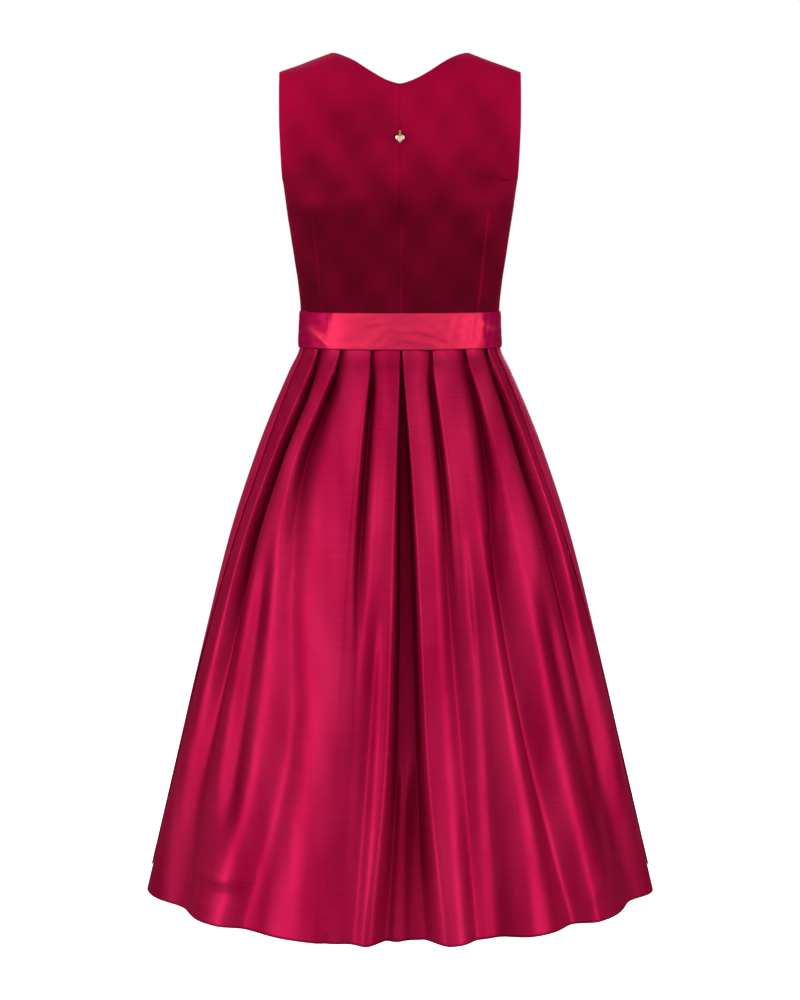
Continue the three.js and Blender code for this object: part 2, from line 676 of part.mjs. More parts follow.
// A tail of the bow hangs over the ribbon's lower edge and then on the apron's outermost girth.
function bowTail(name, side) {
  const overApron = SKIRT_WALL / 2 + SEAM_GAP + APRON_WALL + SEAM_GAP;
  const overRibbon = WAIST_STACK + 2 * SEAM_GAP + RIBBON_WALL;
  const grid = (extra) =>
    range(TAIL_SPANS + 1, (i) => {
      const share = i / TAIL_SPANS;
      const drop = BOW_TAIL.length * share;
      const half = lerp(BOW_TAIL.rootHalf, BOW_TAIL.endHalf, smoothstep(share, 0, 0.5));
      return range(TAIL_BREADTH_SPANS + 1, (j) => {
        const across = (2 * j) / TAIL_BREADTH_SPANS - 1;
        const x = BOW.x + side * (BOW_TAIL.startX + BOW_TAIL.spread * drop + half * across);
        const z = BOW_TAIL.top - drop - BOW_TAIL.slant * across * share;
        const settle = smoothstep(-z, -BOW_TAIL.settleFrom, -BOW_TAIL.settleTo);
        const girth = girthAt(z);
        const turn = 180 - radToDeg(Math.asin(x / skirtHalf(z)));
        return foldedPoint(girth, turn, -lerp(overRibbon, overApron, settle) - extra, z);
      });
    });
  return meshOf(name, wallBetween(grid(RIBBON_WALL), grid(0)), RIBBON_SATIN);
}

// ---- Heart charm -------------------------------------------------------------------------------

// The thread bar stands off the cloth of the centre back by the room that the ring needs.
const charmClothY = bodiceBack(CHARM_BAR_Z);
const CHARM_BAR_Y = charmClothY + RING_RADIUS + RING_WIRE + SEAM_GAP + CHARM_STANDOFF;
const RING_Z = CHARM_BAR_Z - (RING_RADIUS - RING_WIRE - THREAD_RADIUS - SEAM_GAP);
const PIVOT_Z = RING_Z - RING_RADIUS;

const CROWN_SHARE = 0.75; // how far a loop's crown comes towards its two middle points

function threadBar() {
  const section = new THREE.Shape();
  section.absarc(0, 0, THREAD_RADIUS, 0, 2 * Math.PI);
  const foot = charmClothY + SEAM_GAP;
  const crown = foot + (CHARM_BAR_Y - foot) / CROWN_SHARE;
  const path = new THREE.CubicBezierCurve3(
    new THREE.Vector3(-THREAD_HALF_SPAN, foot, CHARM_BAR_Z),
    new THREE.Vector3(-THREAD_HALF_SPAN, crown, CHARM_BAR_Z),
    new THREE.Vector3(THREAD_HALF_SPAN, crown, CHARM_BAR_Z),
    new THREE.Vector3(THREAD_HALF_SPAN, foot, CHARM_BAR_Z),
  );
  const options = { steps: 10, curveSegments: 4, extrudePath: path };
  return meshOf("charm_thread_bar", new THREE.ExtrudeGeometry(section, options), THREAD);
}

function charmRing() {
  const mesh = meshOf("charm_ring", new THREE.TorusGeometry(RING_RADIUS, RING_WIRE, 8, 24), PALE_GOLD);
  mesh.rotation.y = QUARTER_TURN;
  mesh.position.set(0, CHARM_BAR_Y, RING_Z);
  return mesh;
}

// The heart's outline: two lobes and a point, with the cleft at its own origin's height.
function heartOutline() {
  const half = HEART.width / 2 - HEART.bevel;
  const height = HEART.height - 2 * HEART.bevel;
  const cleft = -0.2 * height;
  const shape = new THREE.Shape();
  shape.moveTo(0, cleft);
  shape.bezierCurveTo(0.25 * half, 0.02 * height, half, 0.06 * height, half, -0.3 * height);
  shape.bezierCurveTo(half, -0.6 * height, 0.3 * half, -0.82 * height, 0, -height);
  shape.bezierCurveTo(-0.3 * half, -0.82 * height, -half, -0.6 * height, -half, -0.3 * height);
  shape.bezierCurveTo(-half, 0.06 * height, -0.25 * half, 0.02 * height, 0, cleft);
  return shape;
}

function heartCharm() {
  const body = new THREE.ExtrudeGeometry(heartOutline(), {
    depth: HEART.body,
    bevelThickness: HEART.bevel,
    bevelSize: HEART.bevel,
    bevelSegments: 2,
    curveSegments: 7,
  });
  body.translate(0, -HEART.drop - HEART.bevel, -HEART.body / 2);
  const rim = new THREE.Shape();
  rim.absarc(0, 0, EYE.rim, 0, 2 * Math.PI);
  const stem = new THREE.BoxGeometry(STEM.width, STEM.length, EYE.thick);
  stem.translate(0, -STEM.middle, 0);
  const discOptions = { depth: EYE.thick, bevelEnabled: false, curveSegments: 8 };
  const disc = new THREE.ExtrudeGeometry(rim, discOptions);
  disc.translate(0, 0, -EYE.thick / 2);
  const bore = new THREE.CylinderGeometry(EYE.hole, EYE.hole, 2 * EYE.thick, 14);
  bore.rotateX(QUARTER_TURN);
  const solid = solidOf(body).add(solidOf(stem)).add(solidOf(disc)).subtract(solidOf(bore));
  const mesh = meshOf("heart_charm", geometryOf(solid), PALE_GOLD);
  mesh.rotation.x = QUARTER_TURN;
  mesh.position.set(0, CHARM_BAR_Y, PIVOT_Z);
  return mesh;
}

// ---- Assembly ----------------------------------------------------------------------------------

const bodice = new THREE.Group();
for (const isBack of [true, false]) {
  bodice.add(bodicePanel(isBack, true), bodicePanel(isBack, false));
}

const skirt = new THREE.Group();
skirt.add(
  skirtPanel("skirt_back", (z) => backPlaces(z, girthAt(z)), 1),
  skirtPanel("skirt_front", frontPlaces, -1),
);

const bow = bowFrame();
bow.add(bowKnot(), bowLoop("bow_loop_left", 1), bowLoop("bow_loop_right", -1));

const apronSet = new THREE.Group();
apronSet.add(apron(), waistRibbon(), bow, bowTail("bow_tail_left", 1), bowTail("bow_tail_right", -1));

const charm = new THREE.Group();
charm.add(threadBar(), charmRing(), heartCharm());

const dirndl = new THREE.Group();
dirndl.add(bodice, skirt, apronSet, charm);

export default dirndl;
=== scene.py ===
"""A sleeveless dirndl with its apron, filled out as it is when worn.

Sizes are in millimetres and meshes in metres. +Z is up, the front faces -Y and the wearer's left
is +X. The origin lies midway between the shoulders, where the wearer carries the dress.
"""

import logging
import math
from dataclasses import dataclass
from enum import Enum
from typing import Callable, Sequence

import bpy
import numpy as np
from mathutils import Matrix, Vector


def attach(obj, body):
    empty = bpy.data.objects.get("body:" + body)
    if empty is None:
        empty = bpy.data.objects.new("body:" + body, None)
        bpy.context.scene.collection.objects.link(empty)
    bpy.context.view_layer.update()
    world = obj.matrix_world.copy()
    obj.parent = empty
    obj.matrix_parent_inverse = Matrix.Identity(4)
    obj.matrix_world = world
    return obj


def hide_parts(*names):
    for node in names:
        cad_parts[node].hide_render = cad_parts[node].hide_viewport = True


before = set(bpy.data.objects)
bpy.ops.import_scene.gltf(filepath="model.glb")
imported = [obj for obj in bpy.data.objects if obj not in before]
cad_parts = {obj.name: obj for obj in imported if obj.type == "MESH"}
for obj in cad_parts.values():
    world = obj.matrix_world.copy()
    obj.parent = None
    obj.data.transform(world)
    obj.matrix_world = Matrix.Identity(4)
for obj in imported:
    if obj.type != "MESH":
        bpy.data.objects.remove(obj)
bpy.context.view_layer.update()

log = logging.getLogger("dirndl")

MM = 0.001
SEAM_GAP = 0.3
CUT_MAP = "cut"
Grid = np.ndarray
Colour = tuple[float, float, float]


# ---- Maths ---------------------------------------------------------------------------------------


def mix(start: Grid | float, end: Grid | float, share: Grid | float) -> Grid | float:
    """Return the value that lies at a share of the way from start to end."""
    return start + (end - start) * share


def ease(value: Grid | float, low: float, high: float) -> Grid:
    """Return 0 below low, 1 above high, and a smooth rise between them."""
    share = np.clip((np.asarray(value, float) - low) / (high - low), 0, 1)
    return share * share * (3 - 2 * share)


def bump(value: Grid, middle: Grid | float, half: Grid | float) -> Grid:
    """Return a soft bell of height 1 round middle, whose half breadth is half."""
    off = (value - middle) / half
    return np.exp(-off * off)


def hermite(t: Grid, start: Grid, end: Grid, start_pull: Grid, end_pull: Grid) -> Grid:
    """Return the cubic from start to end that leaves and arrives with the given pulls."""
    t2 = t * t
    t3 = t2 * t
    from_start = (2 * t3 - 3 * t2 + 1) * start + (t3 - 2 * t2 + t) * start_pull
    return from_start + (3 * t2 - 2 * t3) * end + (t3 - t2) * end_pull


class Run:
    """A smooth curve through values at falling heights, with no overshoot between them."""

    def __init__(self, heights: Sequence[float], values: Sequence[float]) -> None:
        """Work out the slopes.

        Args:
            heights: z of each value, from the highest down.
            values: the values that the curve passes through.
        """
        self.drops = -np.asarray(heights, float)
        self.values = np.asarray(values, float)
        steps = np.diff(self.values) / np.diff(self.drops)
        before, after = steps[:-1], steps[1:]
        total = np.where(before + after == 0, 1, before + after)
        inner = np.where(before * after <= 0, 0, 2 * before * after / total)
        self.slopes = np.concatenate([steps[:1], inner, steps[-1:]])

    def __call__(self, z: Grid | float) -> Grid:
        """Return the curve's value at a height or at many."""
        drop = np.clip(-np.asarray(z, float), self.drops[0], self.drops[-1])
        i = np.clip(np.searchsorted(self.drops, drop, side="right") - 1, 0, len(self.drops) - 2)
        width = self.drops[i + 1] - self.drops[i]
        t = (drop - self.drops[i]) / width
        pulls = self.slopes[i] * width, self.slopes[i + 1] * width
        return hermite(t, self.values[i], self.values[i + 1], *pulls)


def unit(vectors: Grid) -> Grid:
    """Return vectors of length 1, along the last axis."""
    length = np.linalg.norm(vectors, axis=-1, keepdims=True)
    return vectors / np.maximum(length, 1e-9)


def grid_normals(points: Grid, ring: bool = False) -> Grid:
    """Return the normals of a grid of points.

    Args:
        points: rows by columns by 3.
        ring: whether the last column joins the first.

    Returns:
        Unit vectors, along the row step crossed with the column step.
    """
    if ring:
        wrapped = np.concatenate([points[:, -1:], points, points[:, :1]], axis=1)
        across = (wrapped[:, 2:] - wrapped[:, :-2]) / 2
    else:
        across = np.gradient(points, axis=1)
    down = np.gradient(points, axis=0)
    return unit(np.cross(down, across))


def lengths_along(points: Grid, axis: int) -> Grid:
    """Return how far each point of a grid lies along its row (1) or column (0), from the first."""
    steps = np.linalg.norm(np.diff(points, axis=axis), axis=-1)
    start = np.zeros_like(np.take(steps, [0], axis=axis))
    return np.concatenate([start, np.cumsum(steps, axis=axis)], axis=axis)


class Ripple:
    """Smooth, seeded unevenness over two numbers, made of a few slow waves."""

    GAIN = 1.6

    def __init__(self, seed: int, longest: tuple[float, float], waves: int = 7) -> None:
        """Draw the waves.

        Args:
            seed: which draw.
            longest: the longest wave along each of the two numbers.
            waves: how many are added.
        """
        draw = np.random.default_rng(seed)
        self.steps = draw.uniform(0.35, 1, (waves, 2)) * draw.choice([-1, 1], (waves, 2))
        self.steps *= 2 * math.pi / np.asarray(longest) * draw.uniform(1, 3, (waves, 1))
        self.starts = draw.uniform(0, 2 * math.pi, waves)
        self.shares = 1 / np.arange(1, waves + 1)

    def __call__(self, first: Grid, second: Grid) -> Grid:
        """Return the unevenness, mostly from -1 to 1."""
        total = sum(
            share * np.sin(step[0] * first + step[1] * second + start)
            for step, start, share in zip(self.steps, self.starts, self.shares)
        )
        return total / self.shares.sum() * self.GAIN


# ---- Shader maths --------------------------------------------------------------------------------


def arithmetic(operation: str, flipped: bool = False) -> Callable[["Wire", "Wire | float"], "Wire"]:
    """Return a method of Wire that adds one Math node.

    Args:
        operation: the node's operation.
        flipped: whether the wire goes in last.

    Returns:
        The method, which takes the other value and returns the node's result.
    """

    def method(wire: "Wire", other: "Wire | float") -> "Wire":
        """Return the result of the two values."""
        return wire.maths(operation, *((other, wire) if flipped else (wire, other)))

    return method


class Wire:
    """A socket of a material's nodes that takes part in Python arithmetic."""

    def __init__(self, cloth: "Dye", link: bpy.types.NodeSocket) -> None:
        """Hold the socket and the material that it belongs to."""
        self.cloth = cloth
        self.link = link

    def maths(self, operation: str, *values: "Wire | float") -> "Wire":
        """Add one Math node to these values and return its result."""
        return self.cloth.wire("Math", {"operation": operation}, dict(enumerate(values)))

    __add__ = __radd__ = arithmetic("ADD")
    __sub__ = arithmetic("SUBTRACT")
    __rsub__ = arithmetic("SUBTRACT", flipped=True)
    __mul__ = __rmul__ = arithmetic("MULTIPLY")
    __truediv__ = arithmetic("DIVIDE")

    def fraction(self) -> "Wire":
        """Return what is left above the next lower whole number."""
        return self.maths("FRACT", self)

    def size(self) -> "Wire":
        """Return the value without its sign."""
        return self.maths("ABSOLUTE", self)

    def eased(self, low: float, high: float) -> "Wire":
        """Return 0 at low, 1 at high and a smooth change between them."""
        settings = {"interpolation_type": "SMOOTHSTEP"}
        inputs = {"Value": self, "From Min": low, "From Max": high}
        return self.cloth.wire("MapRange", settings, inputs)


class Dye:
    """One material and the nodes that it is made of."""

    def __init__(self, name: str) -> None:
        """Start an empty material with its shader and its output."""
        self.material = bpy.data.materials.new(name)
        self.material.use_nodes = True
        self.tree = self.material.node_tree
        self.tree.nodes.clear()
        self.shader = self.node("BsdfPrincipled", {}, {})
        output = self.node("OutputMaterial", {}, {})
        self.tree.links.new(self.shader.outputs[0], output.inputs["Surface"])

    def node(
        self,
        kind: str,
        settings: dict[str, object],
        inputs: dict[str | int, "Wire | float | Sequence[float]"],
    ) -> bpy.types.Node:
        """Add a node.

        Args:
            kind: the node's type, without its ShaderNode prefix.
            settings: its own properties, set first.
            inputs: the value or the link of each socket, by name or place.

        Returns:
            The node.
        """
        made = self.tree.nodes.new("ShaderNode" + kind)
        for name, value in settings.items():
            setattr(made, name, value)
        for place, value in inputs.items():
            if isinstance(value, Wire):
                self.tree.links.new(value.link, made.inputs[place])
            else:
                made.inputs[place].default_value = value
        return made

    def wire(self, kind: str, settings: dict, inputs: dict, output: str | int = 0) -> Wire:
        """Add a node and return one of its outputs."""
        return Wire(self, self.node(kind, settings, inputs).outputs[output])

    def mark(self, name: str) -> Wire:
        """Return a number that the mesh holds at its points."""
        return self.wire("Attribute", {"attribute_name": name}, {}, "Fac")

    def place(self) -> Wire:
        """Return the place on the object, in metres."""
        return self.wire("TexCoord", {}, {}, "Object")

    def cut(self) -> Wire:
        """Return the place on the flat cloth, in metres across and down."""
        return self.wire("UVMap", {"uv_map": CUT_MAP}, {})

    def split(self, place: Wire) -> tuple[Wire, Wire]:
        """Return the first two parts of a place."""
        node = self.node("SeparateXYZ", {}, {"Vector": place})
        return Wire(self, node.outputs[0]), Wire(self, node.outputs[1])

    def stretched(self, place: Wire, scale: Sequence[float]) -> Wire:
        """Return a place, stretched along each axis."""
        return self.wire("VectorMath", {"operation": "MULTIPLY"}, {0: place, 1: scale})

    def noise(self, place: Wire, scale: float, detail: float = 2, rough: float = 0.5) -> Wire:
        """Return soft noise from 0 to 1."""
        inputs = {"Vector": place, "Scale": scale, "Detail": detail, "Roughness": rough}
        return self.wire("TexNoise", {}, inputs, "Fac")

    def blend(self, share: Wire | float, first: "Wire | Colour", second: "Wire | Colour") -> Wire:
        """Return a colour between two colours."""
        node = self.node("Mix", {"data_type": "RGBA"}, {"Factor": share})
        for name, colour in (("A", first), ("B", second)):
            self.colour_into(colour, next(s for s in node.inputs if s.name == name and s.type == "RGBA"))
        return Wire(self, next(o for o in node.outputs if o.type == "RGBA"))

    def colour_into(self, colour: "Wire | Colour", socket: bpy.types.NodeSocket) -> None:
        """Link or set a colour."""
        if isinstance(colour, Wire):
            self.tree.links.new(colour.link, socket)
        else:
            socket.default_value = (*colour, 1)

    def finish(
        self,
        colour: "Wire | Colour",
        roughness: "Wire | float",
        relief: tuple[Wire, float] | None = None,
        **steady: object,
    ) -> bpy.types.Material:
        """Set the shader.

        Args:
            colour: the base colour.
            roughness: the roughness.
            relief: the height of the surface, from 0 to 1, and how many metres that is.
            steady: other values of the shader, by socket name with underscores, the same all over.

        Returns:
            The finished material.
        """
        self.colour_into(colour, self.shader.inputs["Base Color"])
        if isinstance(roughness, Wire):
            self.tree.links.new(roughness.link, self.shader.inputs["Roughness"])
        else:
            self.shader.inputs["Roughness"].default_value = roughness
        if relief:
            height, metres = relief
            made = self.node("Bump", {}, {"Height": height, "Distance": metres, "Strength": 1.0})
            self.tree.links.new(made.outputs["Normal"], self.shader.inputs["Normal"])
        for name, value in steady.items():
            self.shader.inputs[name.replace("_", " ")].default_value = value
        return self.material


# ---- Finishes ------------------------------------------------------------------------------------


@dataclass(frozen=True)
class Velvet:
    """Short dense pile, brushed unevenly, darker where it points at the eye, with painted light and
    shade in its colour.
    """

    dark: Colour
    light: Colour
    sheen: Colour
    pile: float = 0.00022
    roughness: float = 0.85
    brush_stretch: tuple[float, float, float] = (1, 1, 0.55)
    brush_scale: float = 26
    crush_scale: float = 95
    tuft_scale: float = 2600
    nap_shares: tuple[float, float, float, float] = (0.18, 0.1, 0.18, 0.5)
    nap_span: tuple[float, float] = (-0.15, 1.15)
    relief_shares: tuple[float, float] = (0.6, 1.2)

    def make(self, name: str) -> bpy.types.Material:
        """Build the material, which reads two marks: the pile's tone with painted light and shade, and
        the seam.
        """
        dye = Dye(name)
        place = dye.place()
        brushed = dye.noise(dye.stretched(place, self.brush_stretch), self.brush_scale, 3, 0.55)
        crushed = dye.noise(place, self.crush_scale, 3, 0.6)
        tuft = dye.noise(place, self.tuft_scale, 1, 0.5)
        brush_share, crush_share, tuft_share, seam_share = self.nap_shares
        # The first mark is painted light and shade: lighter near the shoulders, at the sides and over
        # the bust, darker towards the waist.
        nap_and_light = dye.mark("nap_and_light") + (brushed - 0.5) * brush_share + (crushed - 0.5) * crush_share
        nap_and_light = nap_and_light + (tuft - 0.5) * tuft_share + dye.mark("seam") * seam_share
        tuft_height, crush_height = self.relief_shares
        return dye.finish(
            dye.blend(nap_and_light.eased(*self.nap_span), self.dark, self.light),
            self.roughness,
            (tuft * tuft_height + crushed * crush_height, self.pile),
            Specular_IOR_Level=0.04,
            Sheen_Weight=0.3,
            Sheen_Roughness=0.35,
            Sheen_Tint=(*self.sheen, 1),
        )


@dataclass(frozen=True)
class Satin:
    """Smooth satin with long floats along the cloth, slubs across it and a dotted figure."""

    deep: Colour
    bright: Colour
    roughness: float
    # The colour of the painted shade that the mark fold lays in the folds' valleys.
    painted_shade: Colour | None = None
    lustre: float = 0.5
    dotted: bool = False
    # Whether the mark tone, which holds painted light and shade, sets most of the tone.
    takes_painted_light: bool = False
    relief: float = 0.00003
    glint: tuple[float, float, float, float] = (0.95, 0.05, 0.22, 1)
    float_stretch: tuple[float, float, float] = (900, 3200, 1)
    slub_stretch: tuple[float, float, float] = (14, 620, 1)
    cloud_stretch: tuple[float, float, float] = (17, 3.4, 1)
    # Shares of the slubs, the clouds and the floats in the tone.
    tone_shares: tuple[float, float, float] = (0.36, 1.3, 0.18)
    tone_span: tuple[float, float] = (-0.1, 1.1)
    # Shares of the slubs and the floats in the roughness, and of the floats and slubs in the relief.
    rough_shares: tuple[float, float] = (0.1, 0.08)
    relief_shares: tuple[float, float] = (0.5, 0.6)
    # What a dot takes from the tone, adds to the roughness and takes from the relief.
    dot_shares: tuple[float, float, float] = (0.42, 0.14, 1.4)
    dot_pitch: float = 0.0052
    dot_reach: tuple[float, float] = (0.012, 0.05)
    figure_across: float = 0.105
    figure_down: float = 0.15
    figure_edge: tuple[float, float] = (0.24, 0.4)

    def make(self, name: str) -> bpy.types.Material:
        """Build the material, which reads the cut map, the mark fold of painted shade where a shade
        colour is given and, where asked, the mark tone of painted light and shade.
        """
        dye = Dye(name)
        cut = dye.cut()
        floats = dye.noise(dye.stretched(cut, self.float_stretch), 1, 1)
        slubs = dye.noise(dye.stretched(cut, self.slub_stretch), 1, 2)
        cloudy = dye.noise(dye.stretched(cut, self.cloud_stretch), 1, 2)
        slub_tone, cloud_tone, float_tone = self.tone_shares
        tone = (slubs - 0.5) * slub_tone + (cloudy - 0.5) * cloud_tone
        tone = tone + (floats - 0.5) * float_tone + 0.5
        # The mark tone holds painted light and shade over the cloth's own tone.
        if self.takes_painted_light:
            tone = tone * 0.3 + dye.mark("tone") * 0.85 - 0.05
        slub_rough, float_rough = self.rough_shares
        roughness = (slubs - 0.5) * slub_rough + (floats - 0.5) * float_rough + self.roughness
        float_height, slub_height = self.relief_shares
        relief = floats * float_height + slubs * slub_height
        if self.dotted:
            dots = self.dots(dye, cut)
            dot_tone, dot_rough, dot_height = self.dot_shares
            tone = tone - dots * dot_tone
            roughness = roughness + dots * dot_rough
            relief = relief - dots * dot_height
        colour = dye.blend(tone.eased(*self.tone_span), self.deep, self.bright)
        # Painted shade: the mark fold darkens the cloth towards this colour in the valleys.
        if self.painted_shade:
            colour = dye.blend(dye.mark("fold"), colour, self.painted_shade)
        return dye.finish(
            colour,
            roughness,
            (relief, self.relief),
            IOR=1.2,
            Specular_Tint=self.glint,
            Specular_IOR_Level=0.15,
            Metallic=self.lustre,
        )

    def dots(self, dye: Dye, cut: Wire) -> Wire:
        """Return the figure: lozenges of tiny dots on a slanted lattice.

        Args:
            dye: the material.
            cut: the place on the flat cloth.

        Returns:
            1 in a dot and 0 beside it.
        """
        across, down = dye.split(cut)
        pitch = self.dot_pitch
        first = ((across + down) / pitch).fraction() - 0.5
        second = ((across - down) / pitch).fraction() - 0.5
        spot = 1 - (first * first + second * second).eased(*self.dot_reach)
        big_across, big_down = across / self.figure_across, down / self.figure_down
        left = ((big_across + big_down).fraction() - 0.5).size()
        right = ((big_across - big_down).fraction() - 0.5).size()
        lozenge = (1 - left.eased(*self.figure_edge)) * (1 - right.eased(*self.figure_edge))
        return spot * lozenge


@dataclass(frozen=True)
class Gold:
    """Polished plating with the faint unevenness of a small casting."""

    colour: Colour
    roughness: float = 0.38
    shade: float = 0.82
    relief: float = 0.00006
    cloud_scale: float = 700
    grain_scale: float = 5000
    grain_share: float = 0.16

    def make(self, name: str) -> bpy.types.Material:
        """Build the material."""
        dye = Dye(name)
        place = dye.place()
        cloudy = dye.noise(place, self.cloud_scale, 2)
        grain = dye.noise(place, self.grain_scale, 2)
        shade = tuple(self.shade * part for part in self.colour)
        colour = dye.blend(cloudy.eased(0.2, 0.8), self.colour, shade)
        roughness = grain * self.grain_share + (self.roughness - 0.05)
        return dye.finish(colour, roughness, (cloudy, self.relief), Metallic=1.0)


@dataclass(frozen=True)
class Yarn:
    """Twisted sewing thread."""

    colour: Colour
    roughness: float = 0.7
    shade: float = 0.45
    relief: float = 0.00005
    fibre_stretch: tuple[float, float, float] = (1, 3, 1)
    fibre_scale: float = 4200

    def make(self, name: str) -> bpy.types.Material:
        """Build the material."""
        dye = Dye(name)
        stretched = dye.stretched(dye.place(), self.fibre_stretch)
        fibres = dye.noise(stretched, self.fibre_scale, 2)
        shade = tuple(self.shade * part for part in self.colour)
        colour = dye.blend(fibres.eased(0.3, 0.7), shade, self.colour)
        return dye.finish(colour, self.roughness, (fibres, self.relief), Sheen_Weight=0.4)


class Look(Enum):
    """Every finish of the dress, with the record's slot that it stands for."""

    VELVET = ("velvet", Velvet((0.085, 0.0, 0.0075), (0.42, 0.001, 0.041), (0.85, 0.01, 0.12)))
    # The skirt's and the apron's fourth colour is the colour of their painted shade.
    SKIRT = (
        "skirt_satin",
        Satin((0.25, 0.0003, 0.027), (0.5, 0.013, 0.074), 0.46, (0.1, 0.0, 0.01), dotted=True),
    )
    APRON = (
        "apron_satin",
        Satin((0.33, 0.0005, 0.039), (0.56, 0.012, 0.092), 0.42, (0.12, 0.0, 0.013), lustre=0.3),
    )
    RIBBON = ("ribbon_satin", Satin((0.33, 0.0, 0.052), (0.65, 0.026, 0.077), 0.5, takes_painted_light=True))
    THREAD = ("thread", Yarn((0.4, 0.01, 0.06)))
    GOLD = ("pale_gold", Gold((0.88, 0.7, 0.5)))

    def material(self) -> bpy.types.Material:
        """Return the finish's material, which is made once."""
        slot, finish = self.value
        return bpy.data.materials.get(slot + "_finish") or finish.make(slot + "_finish")


# ---- Cloth walls ---------------------------------------------------------------------------------


@dataclass
class Hold:
    """How a sheet was cut and what holds it up."""

    flat: tuple[float, float]
    held: str
    rests_on: tuple[str, ...]
    area: float | None = None


def place_piece(piece: bpy.types.Object, look: Look, body: str, node: str) -> None:
    """Give a piece its finish, put it on its body and let it stand for its CAD node."""
    piece.data.materials.clear()
    piece.data.materials.append(look.material())
    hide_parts(node)
    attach(piece, body)
    log.info("%s: %d faces, on %s", piece.name, len(piece.data.polygons), body)


@dataclass
class ClothWall:
    """A closed wall of cloth between an outer and an inner grid, with rounded edges.

    Attributes:
        name: the piece's name.
        surface: rows by columns of points in millimetres, from the top down.
        out: how far the outer face lies outside the surface.
        inside: how far the inner face lies inside it.
        ring: whether the last column joins the first.
        flip: whether the rows and columns turn the normals inward.
        marks: numbers held at the points, by name.
        centre: the column from which the cut map is measured, as a share.
        normals: the outward directions, where the grid's own don't serve.
        sides_drawn: how far the first and last columns are drawn in, as shares of half the wall.
        ends_drawn: how far the first and last rows are drawn in, as a share of half the wall.
    """

    name: str
    surface: Grid
    out: float
    inside: float
    ring: bool = False
    flip: bool = False
    marks: dict[str, Grid] | None = None
    centre: float = 0.0
    normals: Grid | None = None
    sides_drawn: tuple[float, float] = (0.8, 0.8)
    ends_drawn: float = 0.8

    def build(self) -> bpy.types.Object:
        """Make the mesh and its object."""
        normals = grid_normals(self.surface, self.ring) if self.normals is None else self.normals
        if self.flip:
            normals = -normals
        middle = self.surface + normals * (self.out - self.inside) / 2
        half = (self.out + self.inside) / 2
        drawn = self.drawn_in(middle, half)
        outer, inner = drawn + normals * half, drawn - normals * half
        points, faces, source = self.stitch(outer, inner, middle)
        mesh = bpy.data.meshes.new(self.name)
        mesh.from_pydata((points * MM).tolist(), [], faces)
        piece = bpy.data.objects.new(self.name, mesh)
        bpy.context.collection.objects.link(piece)
        corners = np.empty(len(mesh.loops), np.int32)
        mesh.loops.foreach_get("vertex_index", corners)
        flat = self.cut_map().reshape(-1, 2)[source]
        mesh.uv_layers.new(name=CUT_MAP).data.foreach_set("uv", flat[corners].ravel())
        for name, values in (self.marks or {}).items():
            held = mesh.attributes.new(name, "FLOAT", "POINT")
            held.data.foreach_set("value", values.ravel()[source].astype(np.float32))
        mesh.polygons.foreach_set("use_smooth", np.ones(len(mesh.polygons), bool))
        mesh.validate()
        return piece

    def drawn_in(self, middle: Grid, half: float) -> Grid:
        """Return the middle with its free borders drawn in, which leaves room for round rims."""
        drawn = middle.copy()
        reach = half * self.ends_drawn
        drawn[0] += unit(middle[1] - middle[0]) * reach
        drawn[-1] += unit(middle[-2] - middle[-1]) * reach
        if not self.ring:
            first, last = (half * share for share in self.sides_drawn)
            drawn[:, 0] += unit(middle[:, 1] - middle[:, 0]) * first
            drawn[:, -1] += unit(middle[:, -2] - middle[:, -1]) * last
        return drawn

    def cut_map(self) -> Grid:
        """Return each point's place on the flat cloth, in metres."""
        across = lengths_along(self.surface, 1)
        centre = int(round(self.centre * (across.shape[1] - 1)))
        down = lengths_along(self.surface, 0).mean(axis=1)[:, None]
        down = np.broadcast_to(down, across.shape)
        return np.stack([across - across[:, centre][:, None], down], axis=-1) * MM

    def stitch(self, outer: Grid, inner: Grid, rims: Grid) -> tuple[Grid, list, Grid]:
        """Join both faces and the rims.

        Args:
            outer: the outer face's points.
            inner: the inner face's points.
            rims: the points between both faces, of which the borders' are taken.

        Returns:
            The points, the faces and, for each point, which point of the grid it belongs to.
        """
        rows, columns = outer.shape[:2]
        index = np.arange(rows * columns).reshape(rows, columns)
        if self.ring:
            index = np.concatenate([index, index[:, :1]], axis=1)
        under = index + rows * columns
        points = [outer.reshape(-1, 3), inner.reshape(-1, 3)]
        source = [np.arange(rows * columns)] * 2
        faces = [self.quads(index, self.flip), self.quads(under, not self.flip)]
        flat_rims = rims.reshape(-1, 3)
        count = 2 * rows * columns
        if self.ring:
            loops = [(index[0, :-1], True), (index[-1, :-1], False)]
        else:
            around = np.concatenate([index[0], index[1:, -1], index[-1, -2::-1], index[-2:0:-1, 0]])
            loops = [(around, True)]
        for line, keep in loops:
            rim = np.arange(count, count + len(line))
            count += len(line)
            points.append(flat_rims[line])
            source.append(line)
            stack = np.stack([line, rim, line + rows * columns])
            stack = np.concatenate([stack, stack[:, :1]], axis=1)
            faces.append(self.quads(stack, keep != self.flip))
        return np.concatenate(points), np.concatenate(faces).tolist(), np.concatenate(source)

    @staticmethod
    def quads(index: Grid, turned: bool) -> Grid:
        """Return the faces of a grid of point numbers, turned round where asked."""
        a, b, c, d = index[:-1, :-1], index[:-1, 1:], index[1:, 1:], index[1:, :-1]
        order = (a, b, c, d) if turned else (a, d, c, b)
        return np.stack([part.ravel() for part in order], axis=1)


def lay_sheet(wall: ClothWall, look: Look, node: str) -> None:
    """Args:
        wall: the sheet's wall.
        look: its finish.
        node: the CAD node that it stands for.
    """
    piece = wall.build()
    place_piece(piece, look, "dress", node)


def outward(wall: ClothWall) -> ClothWall:
    """Return the wall with its outer face away from the middle of the dress."""
    normals = grid_normals(wall.surface, wall.ring)
    away = wall.surface * (1, 1, 0)
    wall.flip = bool((normals * away).sum() < 0)
    return wall


# ---- Bodice --------------------------------------------------------------------------------------


